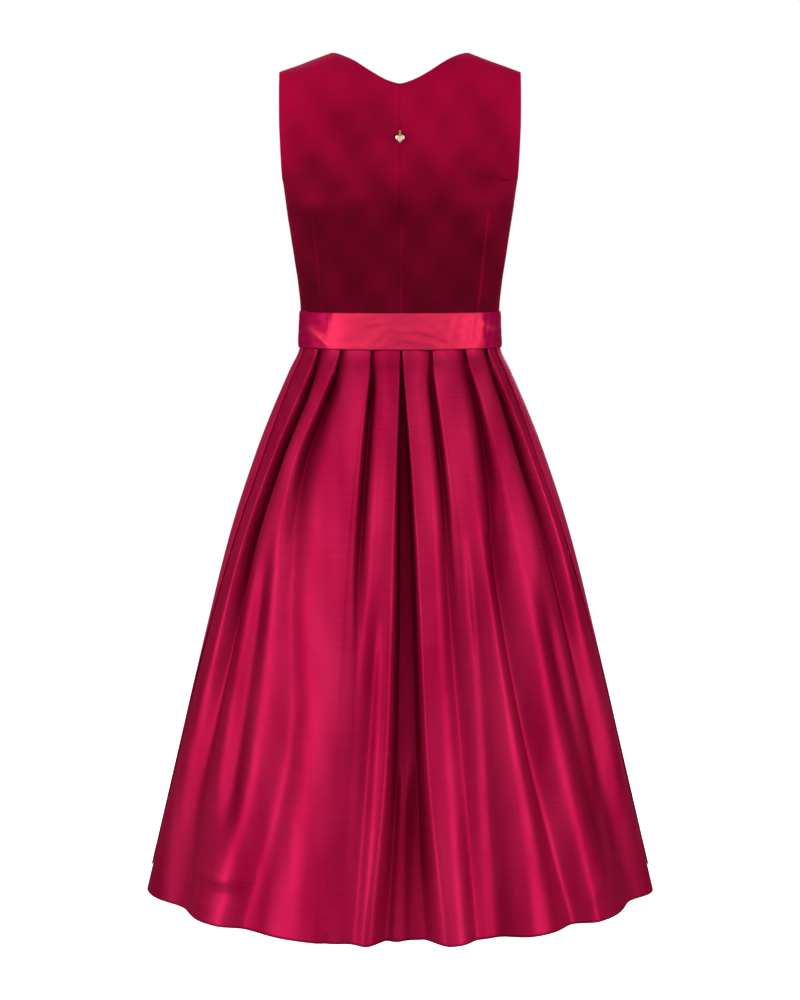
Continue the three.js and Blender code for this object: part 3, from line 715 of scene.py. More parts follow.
@dataclass(frozen=True)
class Crease:
    """A short soft ridge (height above 0) or trough on the cloth, between two places."""

    start: tuple[float, float]
    end: tuple[float, float]
    half: float
    height: float

    def over(self, x: Grid, z: Grid) -> Grid:
        """Return the crease's height at each place."""
        start, end = np.asarray(self.start), np.asarray(self.end)
        line = end - start
        length = float(np.hypot(*line))
        along = ((x - start[0]) * line[0] + (z - start[1]) * line[1]) / length**2
        beside = ((x - start[0]) * line[1] - (z - start[1]) * line[0]) / length
        fade = ease(along, -0.15, 0.3) * (1 - ease(along, 0.7, 1.15))
        return self.height * fade * bump(beside, 0, self.half)


def creases(*rows: tuple[float, ...]) -> tuple[Crease, ...]:
    """Return creases, each from the places of both ends, its half breadth and its height."""
    return tuple(Crease(row[:2], row[2:4], *row[4:]) for row in rows)


@dataclass
class Bodice:
    """The velvet bodice: two back panels with darts and two front panels."""

    neck_point: tuple[float, float] = (88, 12)
    shoulder_tip: tuple[float, float] = (157, -13)
    blade_z: float = -85
    underarm_z: float = -152
    ribbon_top_z: float = -322
    waist_z: float = -346
    armhole_x: float = 155.7
    armhole_back: float = 43
    armhole_front: float = 41
    back_v_z: float = -31
    neckline_half: float = 72
    neck_share: float = 0.484
    wall: float = 2
    bust: tuple[float, float] = (80, -232)
    bust_spread: tuple[float, float] = (38, 48)
    bust_swell: float = 28
    dart_x: tuple[float, float] = (113, 100)
    dart_z: tuple[float, float] = (-193, -322)
    dart_mark: float = 0.7
    seam_fade: tuple[float, float, float] = (-214, -96, -60)
    low_rows: int = 62

    def __post_init__(self) -> None:
        """Draw the girth curves."""
        heights = (-85, -152, -190, -235, -290, -322, -346, -369)
        self.half = Run(heights, (176, 153.2, 147.8, 141, 133, 130.2, 131.1, 132))
        self.back = Run(heights, (92, 97, 96, 93, 91, 92, 93.5, 95.5))
        self.front = Run(heights, (84, 106, 108, 104, 92, 88, 89, 91))

    def shoulder_z(self, x: Grid) -> Grid:
        """Return the height of the shoulder line over a place across the shoulders."""
        (neck_x, neck_z), (tip_x, tip_z) = self.neck_point, self.shoulder_tip
        return mix(neck_z, tip_z, np.clip((x - neck_x) / (tip_x - neck_x), 0, 1))

    def neck_angle(self, x: Grid) -> Grid:
        """Return the angle over the shoulder's cap at which the back's neck edge cuts it."""
        neck_x, neck_z = self.neck_point
        share = np.clip(x / neck_x, 0, 1)
        eased = mix(share, ease(share, 0, 1), 0.75)
        z = mix(self.back_v_z, neck_z, eased)
        return np.arcsin(np.clip((z - self.blade_z) / (neck_z - self.blade_z), 0, 1))

    def point(self, is_back: bool, across: Grid, rise: Grid) -> Grid:
        """Return points of the outside on the wearer's left.

        Args:
            is_back: whether the points lie on the back.
            across: 0 at the centre seam or neck edge to 1 at the side seam or armhole.
            rise: 0 at the waist, 1 at the underarm, 2 at the shoulder blade, 3 at the shoulder.

        Returns:
            Points in millimetres, along the last axis.
        """
        arm_depth = self.armhole_back if is_back else self.armhole_front
        arm = np.clip(rise - 1, 0, 1) * math.pi / 2
        low = mix(self.waist_z, self.underarm_z, rise)
        z = np.where(rise < 1, low, mix(self.blade_z, self.underarm_z, np.cos(arm)))
        reach = self.back(z) if is_back else self.front(z)
        outer_turn = np.arccos(arm_depth * np.sin(arm) / reach)
        risen = np.where(rise > 1, 1 - np.cos(arm), 0)
        edge_x = mix(self.half(self.underarm_z), self.armhole_x, risen)
        half = np.where(rise < 1, self.half(z), edge_x / np.sin(outer_turn))
        inner_turn = 0 if is_back else np.arcsin(self.neckline_half * np.sin(arm) / half)
        turn = mix(inner_turn, outer_turn, across)
        x = half * np.sin(turn)
        y = reach * np.cos(turn)
        if not is_back:
            y = y + self.bust_at(x, z) * np.cos(turn)
        cap = np.clip(rise - 2, 0, 1)
        if is_back:
            top_x = x * self.shoulder_tip[0] / self.armhole_x
            angle = cap * self.neck_angle(x)
        else:
            top_x = mix(self.neck_point[0], self.shoulder_tip[0], across)
            angle = cap * math.pi / 2
        x = mix(x, top_x, cap)
        y = y * np.cos(angle)
        z = np.where(rise > 2, mix(self.blade_z, self.shoulder_z(x), np.sin(angle)), z)
        return np.stack([x, y if is_back else -y, z], axis=-1)

    def bust_at(self, x: Grid, z: Grid) -> Grid:
        """Return how far the bust swells out."""
        (bust_x, bust_z), (spread_x, spread_z) = self.bust, self.bust_spread
        above = ease(z, self.ribbon_top_z, self.ribbon_top_z + 45)
        return self.bust_swell * above * bump(x, bust_x, spread_x) * bump(z, bust_z, spread_z)

    def normals(self, is_back: bool, across: Grid, rise: Grid) -> Grid:
        """Return the outward directions, level with the seams where the panels meet."""
        step = 0.004
        left, right = np.maximum(0, across - step), np.minimum(1, across + step)
        low, high = np.maximum(0, rise - step), np.minimum(3, rise + step)
        side = self.point(is_back, right, rise) - self.point(is_back, left, rise)
        up = self.point(is_back, across, high) - self.point(is_back, across, low)
        normal = np.cross(side, up) * (-1 if is_back else 1)
        normal[..., 0] = np.where((across == 0) & (is_back | (rise <= 1)), 0, normal[..., 0])
        level = (across == 1) & (rise <= 1)
        on_shoulder = (rise == 3) & ((across >= self.neck_share) | (not is_back))
        normal[..., 1] = np.where(level | on_shoulder, 0, normal[..., 1])
        return unit(normal)

    def dart_line(self, z: Grid) -> Grid:
        """Return how far from the centre the back dart's line lies at a height."""
        (top, end), (top_z, end_z) = self.dart_x, self.dart_z
        return mix(top, end, (z - top_z) / (end_z - top_z))

    def back_grid(self) -> tuple[Grid, Grid]:
        """Return across and rise for the back's points, with columns close beside the dart."""
        rises = np.concatenate([np.linspace(0, 1, self.low_rows)[:-1], np.linspace(1, 3, 62)])
        near_dart = self.dart_mark + np.array([-0.018, -0.009, -0.004, 0, 0.004, 0.009, 0.018])
        panel = np.linspace(0.07, 0.66, 24), near_dart, np.linspace(0.74, 0.97, 11)
        marks = np.concatenate([np.linspace(0, 0.04, 4), *panel, [0.985, 1.0]])
        lines = []
        for rise in rises:
            row = self.point(True, marks, np.full_like(marks, rise))
            z = max(self.dart_z[1], min(self.dart_z[0], float(row[0, 2])))
            place = float(np.interp(float(self.dart_line(z)), row[:, 0], marks))
            place = mix(place, self.dart_mark, float(ease(rise, 1.0, 1.9)))
            lines.append(np.interp(marks, [0, self.dart_mark, 1], [0, place, 1]))
        return np.array(lines), np.broadcast_to(rises[:, None], (len(rises), len(marks)))

    def front_grid(self) -> tuple[Grid, Grid]:
        """Return across and rise for the front's points."""
        rises = np.concatenate([np.linspace(0, 1, self.low_rows)[:-1], np.linspace(1, 3, 54)])
        marks = np.concatenate([[0, 0.012], np.linspace(0.03, 0.97, 42), [0.988, 1]])
        return np.meshgrid(marks, rises)

    BACK_CREASES = creases(
        (88, -192, 138, -186, 7, 1.5), (106, -161, 146, -170, 6, 1.2),
        (100, -142, 142, -124, 8, -1.4), (-106, -176, -140, -186, 7, 1.4),
        (-112, -138, -142, -150, 6, 1.1), (-92, -152, -132, -160, 8, -1.3),
        (-88, -104, -136, -92, 9, -1.2), (46, -84, 98, -66, 10, -0.9),
        (-24, -276, -84, -262, 12, -0.7), (28, -300, 92, -288, 12, 0.7),
        (118, -240, 132, -300, 7, -0.9), (-118, -236, -131, -304, 7, -0.8),
    )
    FRONT_CREASES = creases(
        (96, -178, 142, -164, 7, 1.4), (-98, -174, -141, -160, 7, 1.5),
        (100, -150, 140, -128, 8, -1.3), (-100, -146, -140, -126, 8, -1.2),
        (40, -292, 104, -274, 9, -1.0), (-36, -296, -100, -280, 9, -1.1),
        (30, -310, 96, -304, 8, 0.9), (-28, -308, -92, -300, 8, 0.8), (8, -196, 40, -210, 10, -1.3),
        (-8, -198, -42, -214, 10, -1.2),
    )
    # Painted light: the pile lighter near the shoulders and darker down towards the waist, by height.
    PAINTED_LIGHT_FALL = Run(
        (12, -60, -115, -160, -205, -250, -322), (0.96, 0.66, 0.54, 0.32, 0.15, 0.09, 0.04)
    )
    # Patches of painted light on the creases' ridges, painted shade in their troughs, and the pile's own
    # uneven tone: x, z, spread over and down, how much.
    BACK_SHADE_AND_TONE = (
        (56, -66, 34, 24, -0.12), (66, -92, 30, 26, -0.12), (-92, -60, 34, 24, -0.08),
        (30, -104, 32, 34, -0.1), (-60, -104, 44, 26, 0.06), (112, -132, 30, 16, -0.07),
        (-118, -108, 24, 30, -0.09), (98, -176, 44, 10, 0.16), (104, -206, 34, 20, -0.1),
        (-108, -176, 32, 16, 0.16), (-112, -206, 24, 22, 0.08), (-40, -196, 46, 20, -0.06),
        (46, -186, 44, 22, -0.05), (-52, -252, 30, 30, 0.05), (116, -292, 14, 26, -0.08),
        (0, -150, 44, 26, 0.05), (88, -268, 18, 30, 0.05),
    )

    def nap_and_light(self, is_back: bool, x: Grid, z: Grid, across: Grid) -> Grid:
        """Return how light the pile looks, from 0 to 1: painted light, lighter at the top, towards the
        sides and over the front's bust, painted light and shade on the back's creases, and random tone.
        """
        # Painted light, lighter at the top and towards the sides.
        tone = self.PAINTED_LIGHT_FALL(z) + 0.24 * across**5
        if is_back:
            for at_x, at_z, spread_x, spread_z, much in self.BACK_SHADE_AND_TONE:
                tone = tone + much * bump(x, at_x, spread_x) * bump(z, at_z, spread_z)
        else:
            # A painted highlight over the bust.
            swell = bump(np.abs(x), self.bust[0], 44) * bump(z, self.bust[1] + 26, 40)
            tone = tone + 0.3 * swell + 0.1
        return tone + 0.09 * Ripple(5 if is_back else 6, (90, 120))(x, z)

    def sewn(self, surface: Grid, is_left: bool) -> tuple[Grid, Grid]:
        """Return how deep the back's dart lies and how light the dart and the centre seam look."""
        x, z = surface[..., 0], surface[..., 2]
        top_z = self.dart_z[0]
        reach = 1 - ease(z, top_z - 22, top_z + 2)
        off = x - self.dart_line(z)
        dart = 1.1 * reach * bump(off, 0, 1.9) + 0.5 * reach * bump(off, 0, 6)
        light = (1 - ease(z, top_z - 8, top_z + 1)) * (0.4 if is_left else 1)
        low_z, high_z, full_z = self.seam_fade
        shown = (1 - ease(z, low_z, low_z + 8)) * 0.6 + ease(z, high_z, full_z) * 0.2
        seam = shown * bump(x, 0.6, 1.2) * (0.3 if is_left else 1)
        return dart, 0.8 * light * bump(off, 1.0, 1.0) + seam

    def panel(self, is_back: bool, is_left: bool) -> ClothWall:
        """Return one panel's wall."""
        across, rise = self.back_grid() if is_back else self.front_grid()
        across, rise = np.ascontiguousarray(across), np.ascontiguousarray(rise)
        surface = self.point(is_back, across, rise)
        normals = self.normals(is_back, across, rise)
        side = 1 if is_left else -1
        x, z = side * surface[..., 0], surface[..., 2]
        wrinkles = self.BACK_CREASES if is_back else self.FRONT_CREASES
        away = ease(across, 0.0, 0.06) * (1 - ease(across, 0.95, 1.0))
        away = away * ease(z, self.ribbon_top_z, self.ribbon_top_z + 14)
        relief = sum(crease.over(x, z) for crease in wrinkles) * away
        relief = relief + 0.35 * Ripple(11 + is_left, (70, 95))(x, z) * away
        seam = np.zeros_like(x)
        if is_back:
            dart, seam = self.sewn(surface, is_left)
            relief = relief - dart
        surface = surface + normals * relief[..., None]
        surface[..., 0] = np.maximum(surface[..., 0], 0)
        turn = 1 if is_back else -1
        surface[..., 1] = turn * np.maximum(turn * surface[..., 1], 0)
        # The mark holds the pile's tone with painted light and shade.
        tone = self.nap_and_light(is_back, x, z, across)
        if not is_left:
            surface = surface * (-1, 1, 1)
            normals = normals * (-1, 1, 1)
        name = f"velvet_{'back' if is_back else 'front'}_{'left' if is_left else 'right'}"
        flip = bool((grid_normals(surface) * normals).sum() < 0)
        return ClothWall(
            name, surface, 0, self.wall, flip=flip, marks={"nap_and_light": tone, "seam": seam},
            normals=-normals if flip else normals, sides_drawn=(0.25 if is_back else 0.5, 0.6),
        )

    def build(self) -> None:
        """Make the four panels."""
        for is_back, flat, area in ((True, (0.21, 0.40), 0.062), (False, (0.21, 0.41), 0.057)):
            for is_left in (True, False):
                wall = self.panel(is_back, is_left)
                lay_sheet(wall, Look.VELVET, wall.name.replace("velvet", "bodice"))


# ---- Skirt and apron -----------------------------------------------------------------------------

# How the columns of each stretch of cloth are shared out.
INNER_SPANS = 8
OUTER_MARKS = np.array([0, 0.02, 0.045, 0.07, 0.1, 0.2, 0.36, 0.54, 0.72, 0.88, 0.96, 1.0])
TUCK_MARKS = np.array([0.06, 0.13, 0.21, 0.3, 0.4, 0.5, 0.6, 0.7, 0.8, 0.9, 1.0])
PANEL_MARKS = np.array(
    [0.04, 0.08, 0.13, 0.18, 0.24, 0.3, 0.37, 0.44, 0.51, 0.58, 0.65, 0.72, 0.79, 0.86, 0.93, 1.0]
)
FRONT_COLUMNS = 190
TOP_ROWS = (-351, -357, -363)
ROW_POWER = 1.25
SKIRT_RIPPLE = Ripple(21, (38, 700))
# How dark the painted shade in a softer fold gets, how deep the fold is then, and how far round the back
# it may lie.
LOW_SHADE, LOW_DEPTH, LOW_TURN = 0.42, 11.0, 70
# How deep a valley counts as deep at each height, and how dark its painted shade gets.
HOLLOW_DEPTH = Run((-369, -400, -505, -745, -1092), (3.4, 6.5, 13, 19, 34))
HOLLOW_SHADE = Run((-369, -400, -505, -745, -906, -1092), (0.94, 0.93, 0.88, 0.68, 0.4, 0.04))


@dataclass(frozen=True)
class Pleat:
    """A pleat's folded edge, its valley and its depth at each fold level."""

    crest: tuple[float, ...]
    valley: tuple[float, ...]
    depth: tuple[float, ...]

    def curves(self, levels: tuple[float, ...]) -> tuple[Run, Run, Run, int]:
        """Return the crest, the valley and the depth as curves, and which way the pleat faces."""
        runs = (Run(levels, values) for values in (self.crest, self.valley, self.depth))
        return *runs, 1 if self.crest[0] < 0 else -1


@dataclass(frozen=True)
class LowFold:
    """A soft trough (depth above 0) or ridge that runs down part of the skirt."""

    turn: tuple[float, float]
    reach: tuple[float, float]
    spread: float
    depth: float


@dataclass
class SkirtForm:
    """The girth and the folds that the skirt and the apron share. Turns are degrees round."""

    waist_z: float = -346
    ribbon_bottom_z: float = -369
    hem_z: float = -1092
    apron_hem_z: float = -1062
    tuck: float = 9
    tuck_start_z: float = -345
    tuck_end_z: float = -402
    turn_pull: float = 14
    crisp_from: tuple[float, float] = (352, 392)
    soft_from: tuple[float, float] = (560, 1092)
    fall_power: tuple[float, float] = (1.7, 1.15)
    rise_power: tuple[float, float] = (2.3, 1.5)
    front_spread: float = 4.6
    levels: tuple[float, ...] = (-373, -430, -520, -650, -850, -1092)
    pleats: tuple[Pleat, ...] = (
        Pleat(
            (-61, -63, -66, -71, -77, -82), (-59.5, -61.5, -62, -64, -65, -69),
            (3.4, 12, 19, 17, 17, 17),
        ),
        Pleat(
            (-41, -42.5, -43, -45, -47, -49), (-39.5, -40.5, -38, -33.5, -36, -43),
            (3.4, 11, 16, 16, 16, 16),
        ),
        Pleat(
            (-19, -19.5, -20.5, -23, -28, -31), (-17.5, -17, -17, -16, -17, -18),
            (3.4, 12, 15, 14, 14, 18),
        ),
        Pleat(
            (-1.6, -3.4, -5.2, -6.6, -7.4, -11), (-1, -2.2, -3.6, -4.2, -4.8, -6),
            (3.4, 16, 25, 31, 36, 40),
        ),
        Pleat(
            (0.3, 1.3, 2.6, 3.4, 4.2, 8), (-0.4, -0.2, 0, 0, 0.6, 3),
            (3.4, 16, 25, 31, 36, 40),
        ),
        Pleat(
            (17, 17.3, 17.6, 18, 18, 19), (15.5, 15, 14.2, 13.6, 12.5, 12.5),
            (3.4, 12, 15, 13, 9, 8),
        ),
        Pleat(
            (36.5, 41, 46.5, 47, 45, 44), (35, 38, 43, 37.5, 31, 37),
            (3.4, 12, 14, 7, 10, 13),
        ),
        Pleat(
            (55, 57.5, 62, 67, 73, 80), (53.5, 55, 60, 64, 63, 63),
            (3.4, 14, 20, 20, 16, 19),
        ),
    )
    low_folds: tuple[LowFold, ...] = (
        LowFold((50, 46), (-580, -1030), 4.5, 9),
        LowFold((7, 10), (-640, -1092), 2.2, 9),
        LowFold((-2, 1), (-860, -1092), 2.4, -9),
        LowFold((-24, -24), (-560, -1092), 3, 11),
        LowFold((-50, -58), (-640, -1060), 4.2, 10),
    )
    front_folds: tuple[tuple[float, float, float, float], ...] = (
        (-70, -74, 1.5, 15), (-54, -57, 1.9, 20), (-38, -38, 1.5, 15), (-23, -26, 2, 22),
        (-8, -9, 1.6, 17), (8, 8, 1.5, 14), (24, 25, 2, 22), (39, 41, 1.5, 16),
        (55, 56, 1.9, 20), (71, 74, 1.4, 14),
    )

    def __post_init__(self) -> None:
        """Draw the curves of the girth, the folds and the apron's edge."""
        heights = (-346, -369, -400, -452, -505, -611, -745, -906, -1092)
        self.half = Run(heights, (128.7, 129.6, 143, 165.7, 186.4, 221.3, 255.4, 293.5, 337.6))
        self.back = Run(heights, (91.1, 93.1, 106, 124, 142, 173, 209, 252, 306))
        self.front = Run(heights, (86.6, 88.6, 98, 114, 131, 163, 200, 245, 296))
        self.corner = Run(heights, (2, 2, 2, 2, 1.95, 1.9, 1.85, 1.78, 1.75))
        edge_heights = (-351, -505, -611, -745, -850, -1092)
        self.apron_turn = Run(edge_heights, (73, 70.5, 74, 81.5, 88, 88.6))
        self.curves = [pleat.curves(self.levels) for pleat in self.pleats]

    def girth(self, z: float, turn: Grid) -> Grid:
        """Return places round the girth at a height, as x and y."""
        runs = self.half, self.back, self.front, self.corner
        half, back, front, corner = (float(run(z)) for run in runs)
        sine = np.sin(np.radians(turn))
        depth = np.maximum(0, 1 - np.abs(sine) ** corner) ** (1 / corner)
        y = np.where(np.cos(np.radians(turn)) >= 0, back * depth, -front * depth)
        return np.stack([half * sine, y], axis=-1)

    def folded(self, z: float, turn: Grid, depth: Grid) -> Grid:
        """Return points at a height, moved in from the girth by a depth."""
        along = unit(self.girth(z, turn + 0.5) - self.girth(z, turn - 0.5))
        place = self.girth(z, turn)
        x = place[:, 0] + along[:, 1] * depth
        y = place[:, 1] - along[:, 0] * depth
        return np.stack([x, y, np.full_like(x, z)], axis=-1)

    def millimetres(self, z: float, turn: float) -> float:
        """Return how many millimetres one degree of the girth is."""
        ends = self.girth(z, np.array([turn - 0.5, turn + 0.5]))
        return float(np.linalg.norm(ends[1] - ends[0]))

    def low_depth(self, turn: Grid, z: float) -> Grid:
        """Return the depth that the softer folds add."""
        total = np.zeros_like(turn)
        for fold in self.low_folds:
            top, end = fold.reach
            along = (z - top) / (end - top)
            fade_out = 1 if end <= self.hem_z else 1 - ease(along, 0.75, 1)
            shape = bump(turn, mix(*fold.turn, min(1, max(0, along))), fold.spread)
            total = total + fold.depth * ease(along, 0, 0.3) * fade_out * shape
        return total

    def knots(self, z: float, flat: bool = False) -> list[tuple[float, float, int, float]]:
        """Return the folded edges and valleys round the back at a height.

        Args:
            z: the height.
            flat: whether the cloth runs flat through them.

        Returns:
            Turn, depth, which way the pleat faces and how far its cloth leans, for each.
        """
        opened = float(ease(-z, -self.tuck_start_z, -self.tuck_end_z))
        lean = 0 if flat else math.pi / 2 * (1 - opened)
        knots = [(-90.0, 0.0, 0, 0.0)]
        for crest, valley, depth, facing in self.curves:
            crest_turn = float(crest(z))
            tucked = crest_turn - facing * self.tuck / self.millimetres(z, crest_turn)
            valley_turn = mix(tucked, float(valley(z)), opened)
            pair = [(crest_turn, 0.0, facing, lean), (valley_turn, float(depth(z)), facing, lean)]
            knots += pair if facing > 0 else pair[::-1]
        knots.append((90.0, 0.0, 0, 0.0))
        return knots

    def between(self, start: tuple, end: tuple, t: Grid, per_degree: float) -> tuple[Grid, Grid]:
        """Return turns and depths of the cloth between two knots."""
        chord = math.hypot((end[0] - start[0]) * per_degree, end[1] - start[1])
        most = abs(end[0] - start[0])
        turn_pulls = [min(most, math.cos(k[3]) * chord / per_degree) for k in (start, end)]
        depth_pulls = [k[2] * math.sin(k[3]) * self.turn_pull for k in (start, end)]
        turn = hermite(t, start[0], end[0], *turn_pulls)
        return turn, hermite(t, start[1], end[1], *depth_pulls)

    def drawn(self, start: tuple, end: tuple, t: Grid, z: float, falls: bool) -> Grid:
        """Return t, drawn so that the cloth stays high and drops late into its valley.

        Args:
            start: the knot that the stretch of cloth starts from.
            end: the knot that it ends at.
            t: shares of the way.
            z: the height.
            falls: whether this is the short side of the pleat.

        Returns:
            The drawn shares.
        """
        opened = float(ease(-z, *self.crisp_from))
        low = float(ease(-z, *self.soft_from))
        power = mix(1, mix(*(self.fall_power if falls else self.rise_power), low), opened)
        crest_first = start[1] < end[1]
        from_crest = t if crest_first else 1 - t
        drawn = from_crest**power
        return drawn if crest_first else 1 - drawn

    def margin(self, z: float, side: int) -> tuple[Grid, Grid]:
        """Return the outer margin's turns and depths, from its last crest to the side seam."""
        knots = self.knots(z, flat=True)
        start, end = knots[-2:] if side > 0 else knots[:2]
        per_degree = self.millimetres(z, (start[0] + end[0]) / 2)
        crest = abs(start[0] if side > 0 else end[0])
        edge = float(self.apron_turn(z))
        inner = mix(crest, edge, np.arange(1, INNER_SPANS) / INNER_SPANS)
        outer = mix(edge, 90.0, OUTER_MARKS)
        turns = np.concatenate([inner, outer])
        t = np.linspace(0, 1, 400)
        turn, depth = self.between(start, end, t, per_degree)
        found = np.interp(side * turns, turn, depth)
        found[-1] = 0
        return side * turns, found

    def back_places(self, z: float) -> tuple[Grid, Grid]:
        """Return all turns and depths round the back at a height, from the right side seam."""
        knots = self.knots(z)
        turn, depth = (part[::-1] for part in self.margin(z, -1))
        turns, depths = [turn, knots[1][:1]], [depth, [0.0]]
        for i in range(1, len(knots) - 2):
            start, end = knots[i], knots[i + 1]
            per_degree = self.millimetres(z, (start[0] + end[0]) / 2)
            t = TUCK_MARKS if self.falls(i) else PANEL_MARKS
            turn, depth = self.between(start, end, t, per_degree)
            if abs(start[1] - end[1]) > 1:
                drawn = self.drawn(start, end, t, z, self.falls(i))
                depth = self.between(start, end, drawn, per_degree)[1]
            turns.append(turn)
            depths.append(depth + self.low_depth(turn, z))
        turn, depth = self.margin(z, 1)
        return np.concatenate([*turns, turn]), np.concatenate([*depths, depth])

    def painted_shade(self, depth: Grid, z: float) -> Grid:
        """Return how much painted shade the cloth gets deep in a fold, from 0 on the folds up to the
        height's shade in a deep valley.
        """
        deepest = float(HOLLOW_DEPTH(z))
        return float(HOLLOW_SHADE(z)) * np.clip(depth / deepest, 0, 1) ** 1.35

    def low_painted_shade(self, turn: Grid, z: float) -> Grid:
        """Return the painted shade in the back's softer folds, like the shade in the pleats' valleys."""
        soft = LOW_SHADE * np.clip(self.low_depth(turn, z) / LOW_DEPTH, 0, 1)
        return np.where(np.abs(turn) < LOW_TURN, soft, 0)

    @staticmethod
    def falls(i: int) -> bool:
        """Return whether the stretch after knot i is the short one from a folded edge down."""
        return i % 2 == 1

    def front_places(self, z: float) -> tuple[Grid, Grid]:
        """Return turns and depths round the front, from the left side seam to the right."""
        turn = np.linspace(90, 270, FRONT_COLUMNS)
        fall = min(1, max(0, (self.waist_z - z) / (self.waist_z - self.hem_z)))
        depth = np.zeros_like(turn)
        for waist_turn, hem_turn, waist_depth, hem_depth in self.front_folds:
            shape = bump(turn - 180, mix(waist_turn, hem_turn, fall), self.front_spread)
            depth = depth + mix(waist_depth, hem_depth, fall**0.8) * shape
        depth[[0, -1]] = 0
        return turn, depth

    def unevenness(self, turn: Grid, z: float) -> Grid:
        """Return the cloth's slow unevenness, which grows towards the hem."""
        grows = 0.3 + 1.0 * ease(-z, 420, 1000)
        return grows * SKIRT_RIPPLE(turn, np.full_like(turn, z))


@dataclass
class Skirt:
    """The pleated satin skirt, in a back and a front panel."""

    form: SkirtForm
    half_wall: float = 0.6
    rows: int = 104
    # Short creases of the back: turn and height at both ends, half breadth in millimetres, height.
    creases: tuple[tuple[float, float, float, float, float, float], ...] = (
        (-31, -602, -36, -617, 5, -2.2),
        (-30, -588, -36, -600, 5, 1.4),
        (17, -1100, 15.5, -1085, 5, -2.4),
        (57, -1046, 40, -1052, 9, -3.2),
        (60, -1034, 38, -1036, 10, 3.2),
        (-46, -1066, -52, -1044, 6, 1.4),
        (-69, -1080, -63, -1022, 8, 2.4),
        (38, -640, 44, -655, 7, 1.2),
    )

    def heights(self) -> Grid:
        """Return the heights of the rows, closer together near the waist and the hem."""
        share = np.linspace(0, 1, self.rows) ** ROW_POWER
        body = mix(self.form.ribbon_bottom_z, self.form.hem_z, share)
        top = [self.form.waist_z - SEAM_GAP, *TOP_ROWS]
        return np.concatenate([top, body[:-1], [self.form.hem_z + 4, self.form.hem_z]])

    def crease_relief(self, turn: Grid, z: float) -> Grid:
        """Return how far the short creases stand out, in millimetres."""
        total = np.zeros_like(turn)
        for turn0, z0, turn1, z1, half, height in self.creases:
            per_degree = self.form.millimetres(z, (turn0 + turn1) / 2)
            start, end = (turn0 * per_degree, z0), (turn1 * per_degree, z1)
            total = total + Crease(start, end, half, height).over(turn * per_degree, z)
        return total

    def panel(self, is_back: bool) -> ClothWall:
        """Return the back's or the front's wall."""
        form = self.form
        lines, folds = [], []
        for z in self.heights():
            turn, depth = form.back_places(z) if is_back else form.front_places(z)
            # Painted shade in the valleys and the softer folds, held as the mark fold.
            folds.append(np.maximum(form.painted_shade(depth, z), form.low_painted_shade(turn, z)))
            near_seam = ease(90 - np.abs(np.where(turn > 90, 180 - turn, turn)), 0, 8)
            depth = depth - form.unevenness(turn, z) * near_seam
            if is_back:
                depth = depth - self.crease_relief(turn, z) * near_seam
            lines.append(form.folded(z, turn, depth))
        surface = np.array(lines)
        turn = 1 if is_back else -1
        surface[..., 1] = turn * np.maximum(turn * surface[..., 1], SEAM_GAP / 2)
        name = "skirt_satin_back" if is_back else "skirt_satin_front"
        marks = {"fold": np.array(folds)}
        half = self.half_wall
        return outward(ClothWall(name, surface, half, half, marks=marks, centre=0.5))

    def build(self) -> None:
        """Make both panels."""
        lay_sheet(self.panel(True), Look.SKIRT, "skirt_back")
        lay_sheet(self.panel(False), Look.SKIRT, "skirt_front")


@dataclass
class Apron:
    """The satin apron, over the front and onto the back's outer margins."""

    form: SkirtForm
    wall: float = 1.2
    lift: float = 0.9
    rows: int = 96
    hem: float = 30
    # How much of the skirt's painted shade the apron takes.
    painted_shade_share: float = 0.6

    def heights(self) -> Grid:
        """Return the heights of the rows."""
        form = self.form
        share = np.linspace(0, 1, self.rows) ** ROW_POWER
        body = mix(form.ribbon_bottom_z, form.apron_hem_z + self.hem + 2, share)
        foot = form.apron_hem_z + self.hem
        low = [foot + 0.8, foot, foot - 1.2, foot - 12, foot - 24, foot - self.hem + 3, foot - self.hem]
        return np.concatenate([TOP_ROWS, body, low])

    def build(self) -> None:
        """Make the apron with its narrow side hems and its deep lower hem."""
        form = self.form
        lines, folds = [], []
        for z in self.heights():
            (left_turn, left_depth), (right_turn, right_depth) = (
                [part[INNER_SPANS - 1:-1][::side] for part in form.margin(z, side)] for side in (1, -1)
            )
            turn, depth = form.front_places(z)
            uneven = form.unevenness(turn, z) * ease(90 - np.abs(180 - turn), 0, 8)
            turn = np.concatenate([left_turn, turn, right_turn + 360])
            depth = np.concatenate([left_depth, depth - uneven, right_depth])
            lines.append(form.folded(z, turn, depth))
            # Painted shade in the valleys, held as the mark fold.
            folds.append(self.painted_shade_share * form.painted_shade(depth, z))
        surface = np.array(lines)
        from_left = lengths_along(surface, 1)
        from_right = from_left[:, -1:] - from_left
        edge = np.minimum(from_left, from_right)
        # No painted shade at the very edges.
        marks = {"fold": np.array(folds) * ease(edge, 2, 14)}
        wall = outward(ClothWall("apron_satin", surface, 0, 0, marks=marks, centre=0.5))
        normals = grid_normals(surface) * (-1 if wall.flip else 1)
        side_hem = 0.5 * (1 - ease(edge, 3.2, 4.4)) - 0.2 * bump(edge, 5.0, 0.7)
        z = surface[..., 2]
        foot = form.apron_hem_z + self.hem
        low_hem = 0.7 * (1 - ease(z, foot - 1.5, foot + 0.6)) - 0.25 * bump(z, foot + 0.8, 1.2)
        relief = np.maximum(side_hem, low_hem) * ease(-z, 369, 372)
        wall.surface = surface + normals * relief[..., None] * 0.5
        wall.out, wall.inside = self.lift + self.wall, -self.lift
        lay_sheet(wall, Look.APRON, "apron")


# ---- Waist ribbon and bow ------------------------------------------------------------------------


